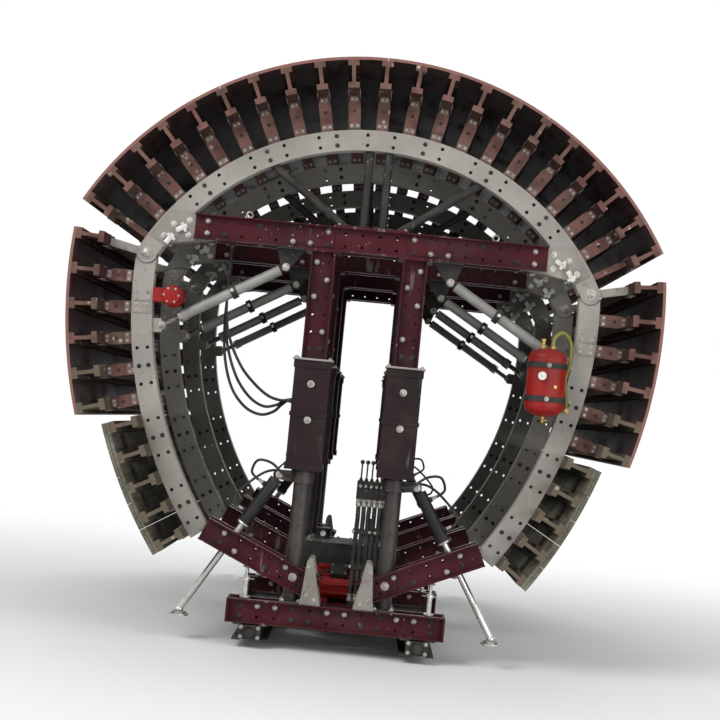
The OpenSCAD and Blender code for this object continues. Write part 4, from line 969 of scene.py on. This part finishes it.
fitting(body, place(RX + 0.175, FRAME_YS[0] - 0.055, top - 0.43, "-y"), 0.013, 0.045, "brass")


# Vibrator: ribs, covers, terminal box and its lead, which goes into the ring

body = "left_side"
for k in range(7):
    into(body, "vibrator_ribs", "red_paint").torus(place(VX, VY - 0.054 + 0.018 * k, VZ, "y"), 0.0755, 0.0035, 48, 6)
for face, ax in Y_ENDS:
    into(body, "vibrator_covers", "red_paint").lathe(
        [(0.066, 0), (0.066, 0.006), (0.06, 0.012), (0.03, 0.016)], place(VX, VY + face * 0.1145, VZ, ax), 40)
    for t in around(6):
        at = place(VX + 0.052 * math.cos(t), VY + face * 0.126, VZ + 0.052 * math.sin(t), ax, t)
        into(body, "vibrator_bolts", "zinc").bolt(at, 0.008, nut=False)
into(body, "vibrator_box", "knob").block((0.075, 0.085, 0.045), place(VX + 0.012, VY, VZ + 0.092), 0.005)
into(body, "vibrator_gland", "knob").lathe(stub(0.014, 0.018, 0.004, 0.006), place(VX + 0.05, VY, VZ + 0.092, "x"), 8)
lead_x, lead_z = side_pt(-1, SIDE_IN, -1.1)
into(body, "vibrator_lead", "hose_rubber").hose(off(VIBRATOR, [
    (0.065, 0, 0.092), (0.115, -0.005, 0.1), (0.135, -0.02, 0.15), (0.09, -0.035, 0.2), (0.01, -0.04, 0.205)])
    + [(lead_x + 0.04, VY - 0.04, lead_z + 0.012), (lead_x + 0.002, VY - 0.04, lead_z)], 0.007)


# Power pack: motor, pump and their hoses

fan = carriage("fan_cover", "black_paint")
fan_at = place(MX - 0.162, MY, MZ, "-x")
fan.lathe([(0.121, 0), (0.124, 0.004), (0.124, 0.05), (0.116, 0.062), (0.1, 0.066)], fan_at, 48)
for r in (0.03, 0.047, 0.064, 0.081, 0.098):
    fan.torus(fan_at @ shift(0, 0, 0.066), r, 0.0035, 40, 6)
carriage("motor_rings", "red_paint").torus(place(MX + 0.158, MY, MZ, "x"), 0.117, 0.008, 48, 8)
for t in around(8, 0.2):
    at = place(MX + 0.165, MY + 0.1 * math.cos(t), MZ + 0.1 * math.sin(t), "x", t)
    carriage("motor_bolts", "zinc").bolt(at, 0.01, nut=False)
box = shift(MX + 0.02, MY - 0.095, MZ + 0.095) @ spin(PI / 4, "X")
carriage("motor_box", "knob").block((0.13, 0.1, 0.06), box, 0.006)
for dx, dy in corners(0.05, 0.038):
    carriage("box_screws", "zinc").bolt(box @ shift(dx, dy, 0.03), 0.006, nut=False)
carriage("motor_lead", "hose_rubber").hose(off(MOTOR, [
    (-0.045, -0.1, 0.1), (-0.1, -0.12, 0.09), (-0.17, -0.15, 0.0), (-0.2, -0.13, -0.1), (-0.21, -0.05, -0.144)]), 0.009)
pump = carriage("pump_ends", "dark_steel")
pump.lathe(stub(0.062, 0.026, 0.012, 0.006), place(MX + 0.275, MY, MZ, "x"), 32)
for t in around(4, PI / 4):
    at = place(MX + 0.3, MY + 0.044 * math.cos(t), MZ + 0.044 * math.sin(t), "x", t)
    carriage("pump_bolts", "zinc").bolt(at, 0.01, nut=False)
for dz, ax in ((1, "z"), (-1, "-z")):
    pump.lathe([(0.022, 0), (0.022, 0.03)], place(MX + 0.22, MY, MZ + dz * 0.052, ax), 16)
for x, dy in corners(0.25, 0.09):
    carriage("bed_bolts", "zinc").bolt(place(x, MY + dy, PACK_FLOOR + 0.012, "z", rng.random()), 0.014)
# Pressure hose to the manifold, suction hose from the tank
carriage("pressure_hose", "hose_rubber").hose([
    (MX + 0.22, MY, MZ + 0.08), (MX + 0.225, MY - 0.01, MZ + 0.14), (MX + 0.24, MY - 0.06, MZ + 0.17),
    (0.225, MY - 0.13, MZ + 0.1), (0.22, MY - 0.15, MZ - 0.03), (0.22, -1.962, PACK_FLOOR + 0.03),
    (0.22, -1.975, PACK_FLOOR + 0.03)], 0.014)
carriage("suction_hose", "hose_rubber").hose([
    (0.27, -1.64, PACK_FLOOR + 0.14), (0.27, -1.68, PACK_FLOOR + 0.14), (0.265, -1.73, PACK_FLOOR + 0.11),
    (0.25, MY + 0.06, MZ - 0.085), (MX + 0.25, MY + 0.02, MZ - 0.1), (MX + 0.22, MY, MZ - 0.09),
    (MX + 0.22, MY, MZ - 0.078)], 0.019)
fitting("carriage", place(0.27, -1.64, PACK_FLOOR + 0.14, "-y"), 0.019, 0.04)
fitting("carriage", place(MX + 0.22, MY, MZ + 0.08, "z"), 0.014, 0.04)


# Tank: lid bolts, filler cap, return filter, level glass, feet and handles

TANK_Y, TANK_FACE = -1.33, -1.64
LID_Z = PACK_FLOOR + 0.435
for k in range(6):
    t, r = -0.25 + 0.1 * k, 0.262
    for x, dy in [(t, -r), (t, r)] + [(-r - 0.01, t), (r + 0.01, t)] * (0 < k < 5):
        carriage("lid_bolts", "zinc").bolt(place(x, TANK_Y + dy, LID_Z, "z", rng.random()), 0.012, nut=False)
cap, cap_at = carriage("tank_cap", "knob"), place(0.2, TANK_Y + 0.2, PACK_FLOOR + 0.488)
cap.lathe([(0.05, 0), (0.053, 0.004), (0.053, 0.024), (0.046, 0.03), (0, 0.033)], cap_at, 32)
for t in around(16):
    cap.block((0.004, 0.006, 0.02), cap_at @ spin(t) @ shift(0.0535, 0, 0.014))
carriage("return_filter", "black_paint").lathe(
    [(0.075, 0), (0.075, 0.01), (0.055, 0.012), (0.055, 0.06), (0.062, 0.062), (0.062, 0.075), (0.05, 0.08)],
    place(-0.17, TANK_Y + 0.16, LID_Z), 32)
gauge("carriage", place(-0.17, TANK_Y + 0.105, LID_Z + 0.035, "-y"), 0.022)
level = (-0.22, TANK_FACE, PACK_FLOOR + 0.22)
carriage("level_frame", "zinc").block((0.036, 0.014, 0.19), place(*level) @ shift(0, -0.006, 0), 0.003)
carriage("level_glass", "glass").block((0.016, 0.006, 0.14), place(*level) @ shift(0, -0.015, 0), 0.0015)
carriage("drain_plug", "brass").lathe(
    stub(0.02, 0.016, 0.005, 0.004), place(0.05, TANK_FACE, PACK_FLOOR + 0.05, "-y"), 6)
for s in (-1, 1):
    for dy in (-0.2, 0.2):
        lug = carriage("tank_feet", "dark_steel")
        lug.block((0.06, 0.07, 0.008), place(s * 0.345, TANK_Y + dy, PACK_FLOOR + 0.004), 0.002)
        lug.block((0.01, 0.06, 0.07), place(s * 0.323, TANK_Y + dy, PACK_FLOOR + 0.035), 0.002)
        carriage("feet_bolts", "zinc").bolt(place(s * 0.352, TANK_Y + dy, PACK_FLOOR + 0.008, "z"), 0.012)
    carriage("tank_handles", "bare").hose([(s * x, TANK_Y + dy, PACK_FLOOR + 0.33) for x, dy in (
        (0.32, -0.07), (0.35, -0.07), (0.36, -0.055), (0.36, 0.055), (0.35, 0.07), (0.32, 0.07))], 0.007)


# Valve stand: section lines, spool caps, lever knobs, hose ends and their clamp

VALVE_X, VALVE_Y, VALVE_PITCH = 0.21, -2.025, 0.04
HOSE_Y, HOSE_R = VALVE_Y - 0.02, 0.0168
HOSE_XS = [VALVE_X + (i - 3) * VALVE_PITCH for i in range(7)]
for i in range(8):
    carriage("valve_sections", "black_paint").block(
        (0.004, 0.098, 0.124), place(VALVE_X + (i - 3.5) * VALVE_PITCH, VALVE_Y, 1.185), 0.001)
for x in HOSE_XS:
    carriage("lever_knobs", "knob").lathe(
        [(0, -0.016), (0.009, -0.014), (0.016, -0.004), (0.017, 0.004), (0.012, 0.014), (0, 0.018)],
        place(x, VALVE_Y, 1.388), 20)
    carriage("lever_boots", "hose_rubber").lathe(
        [(0.016, 0), (0.016, 0.005), (0.012, 0.011), (0.013, 0.015), (0.0085, 0.022), (0, 0.024)],
        place(x, VALVE_Y, 1.25), 16)
    for face, ax in Y_ENDS:
        carriage("spool_caps", "zinc").lathe(
            stub(0.013, 0.024, 0.003, 0.004), place(x, VALVE_Y + face * 0.045, 1.215, ax), 14)
    for z, ax in ((1.12, "-z"), (0.365, "z")):
        fitting("carriage", place(x, HOSE_Y, z, ax), HOSE_R, 0.055)
for z in (0.62, 0.88):
    for face in (-1, 1):
        carriage("hose_clamps", "dark_steel").block(
            (0.29, 0.006, 0.035), place(VALVE_X, HOSE_Y + face * 0.0215, z), 0.0015)
    for dx in (-0.142, -0.02, 0.02, 0.142):
        carriage("clamp_bolts", "zinc").bolt(place(VALVE_X + dx, HOSE_Y - 0.0245, z, "-y"), 0.009, nut=False)
gauge("carriage", place(0.345, VALVE_Y - 0.045, 1.16, "-y"), 0.022)


# Wheels, axles and buffers

SOLE_END, BUFFER_Z = 2.375, 0.115
for s, hand in SIDES:
    for y, tag in ((-WHEEL_Y, "n"), (WHEEL_Y, "f")):
        for face, ax in X_ENDS:
            at = place(s * WHEEL_X + face * 0.0735, y, AXLE_Z, ax, 0.2)
            castle_nut("carriage", "axle_nuts", at, 0.036, 0.026)
            for t in around(6):
                rib = shift(s * WHEEL_X, y, AXLE_Z) @ spin(t, "X") @ shift(face * 0.026, 0, 0.062)
                into("wheel_" + tag + hand[0], "ribs", "wheel_iron").block((0.024, 0.012, 0.034), rib, 0.003)
    for end, ax in Y_ENDS:
        carriage("buffer_plates", "dark_steel").block(
            (0.16, 0.012, 0.1), place(s * WHEEL_X, end * (SOLE_END + 0.006), BUFFER_Z), 0.003)
        carriage("buffers", "hose_rubber").lathe(
            [(0.042, 0), (0.044, 0.008), (0.036, 0.03), (0.028, 0.042), (0, 0.044)],
            place(s * WHEEL_X, end * (SOLE_END + 0.012), BUFFER_Z, ax), 28)
        for dx, dz in corners(0.062, 0.034):
            carriage("buffer_bolts", "zinc").bolt(
                place(s * WHEEL_X + dx, end * (SOLE_END + 0.012), BUFFER_Z + dz, ax), 0.012, nut=False)


# Trailing cables between two glands, and supply hoses with their crimp rings, in place of their plain solids

CABLES = (((-1.015, 2.40), (-0.97, 2.20), (-0.87, 2.01), (-0.76, 1.89), (-0.65, 1.81), (-0.56, 1.785)),
          ((-1.02, 2.38), (-0.985, 2.15), (-0.90, 1.93), (-0.79, 1.79), (-0.68, 1.73), (-0.59, 1.745),
           (-0.54, 1.775)),
          ((-1.025, 2.34), (-1.0, 2.07), (-0.93, 1.85), (-0.82, 1.715), (-0.70, 1.667), (-0.605, 1.695),
           (-0.55, 1.75)))
CABLE_YS = [-2.110 + 0.028 * i for i in range(3)]
CABLE_GLAND = [(0.0112, 0), (0.0165, 0), (0.0165, 0.01), (0.014, 0.026), (0.0112, 0.03)]
cables = Solid()
for y, route in zip(CABLE_YS, CABLES):
    way = ((-1.02, 2.8897), (-1.02, 2.70)) + route + ((-0.505, 1.79), (-0.481, 1.79))
    cables.hose([(x, y, z) for x, z in way], 0.0108, 14, 8)
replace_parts(cables.piece("smooth_cables", "crown", M["hose_rubber"], "hose_rubber"), "trailing_cables")

drops = Solid()
for i, x in enumerate(HOSE_XS):
    bow = 0.004 * math.sin(1.9 * i + 0.6)
    drops.hose([(x, HOSE_Y, 0.3655), (x, HOSE_Y, 0.44), (x + bow, HOSE_Y - abs(bow), 0.53), (x, HOSE_Y, 0.62),
                (x - bow, HOSE_Y, 0.75), (x, HOSE_Y, 0.88), (x + bow * 0.7, HOSE_Y - abs(bow), 0.98),
                (x, HOSE_Y, 1.05), (x, HOSE_Y, 1.1195)], HOSE_R, 18, 6)
    for z in (0.50, 0.70, 0.80, 1.0):
        drops.torus(place(x, HOSE_Y, z), HOSE_R, 0.0012, 18, 6)
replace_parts(drops.piece("smooth_supply_hoses", "carriage", M["hose_rubber"], "hose_rubber"), "supply_hoses")

for y in CABLE_YS:
    for x, z, ax in ((-0.4805, 1.79, "-x"), (-1.02, 2.89, "-z")):
        crown("cable_glands", "knob").ring(CABLE_GLAND, place(x, y, z, ax), 12)

for (body, group, finish), solid in KIT.items():
    solid.piece(body + "_" + group, body, M[finish], SLOT_OF.get(finish, finish))
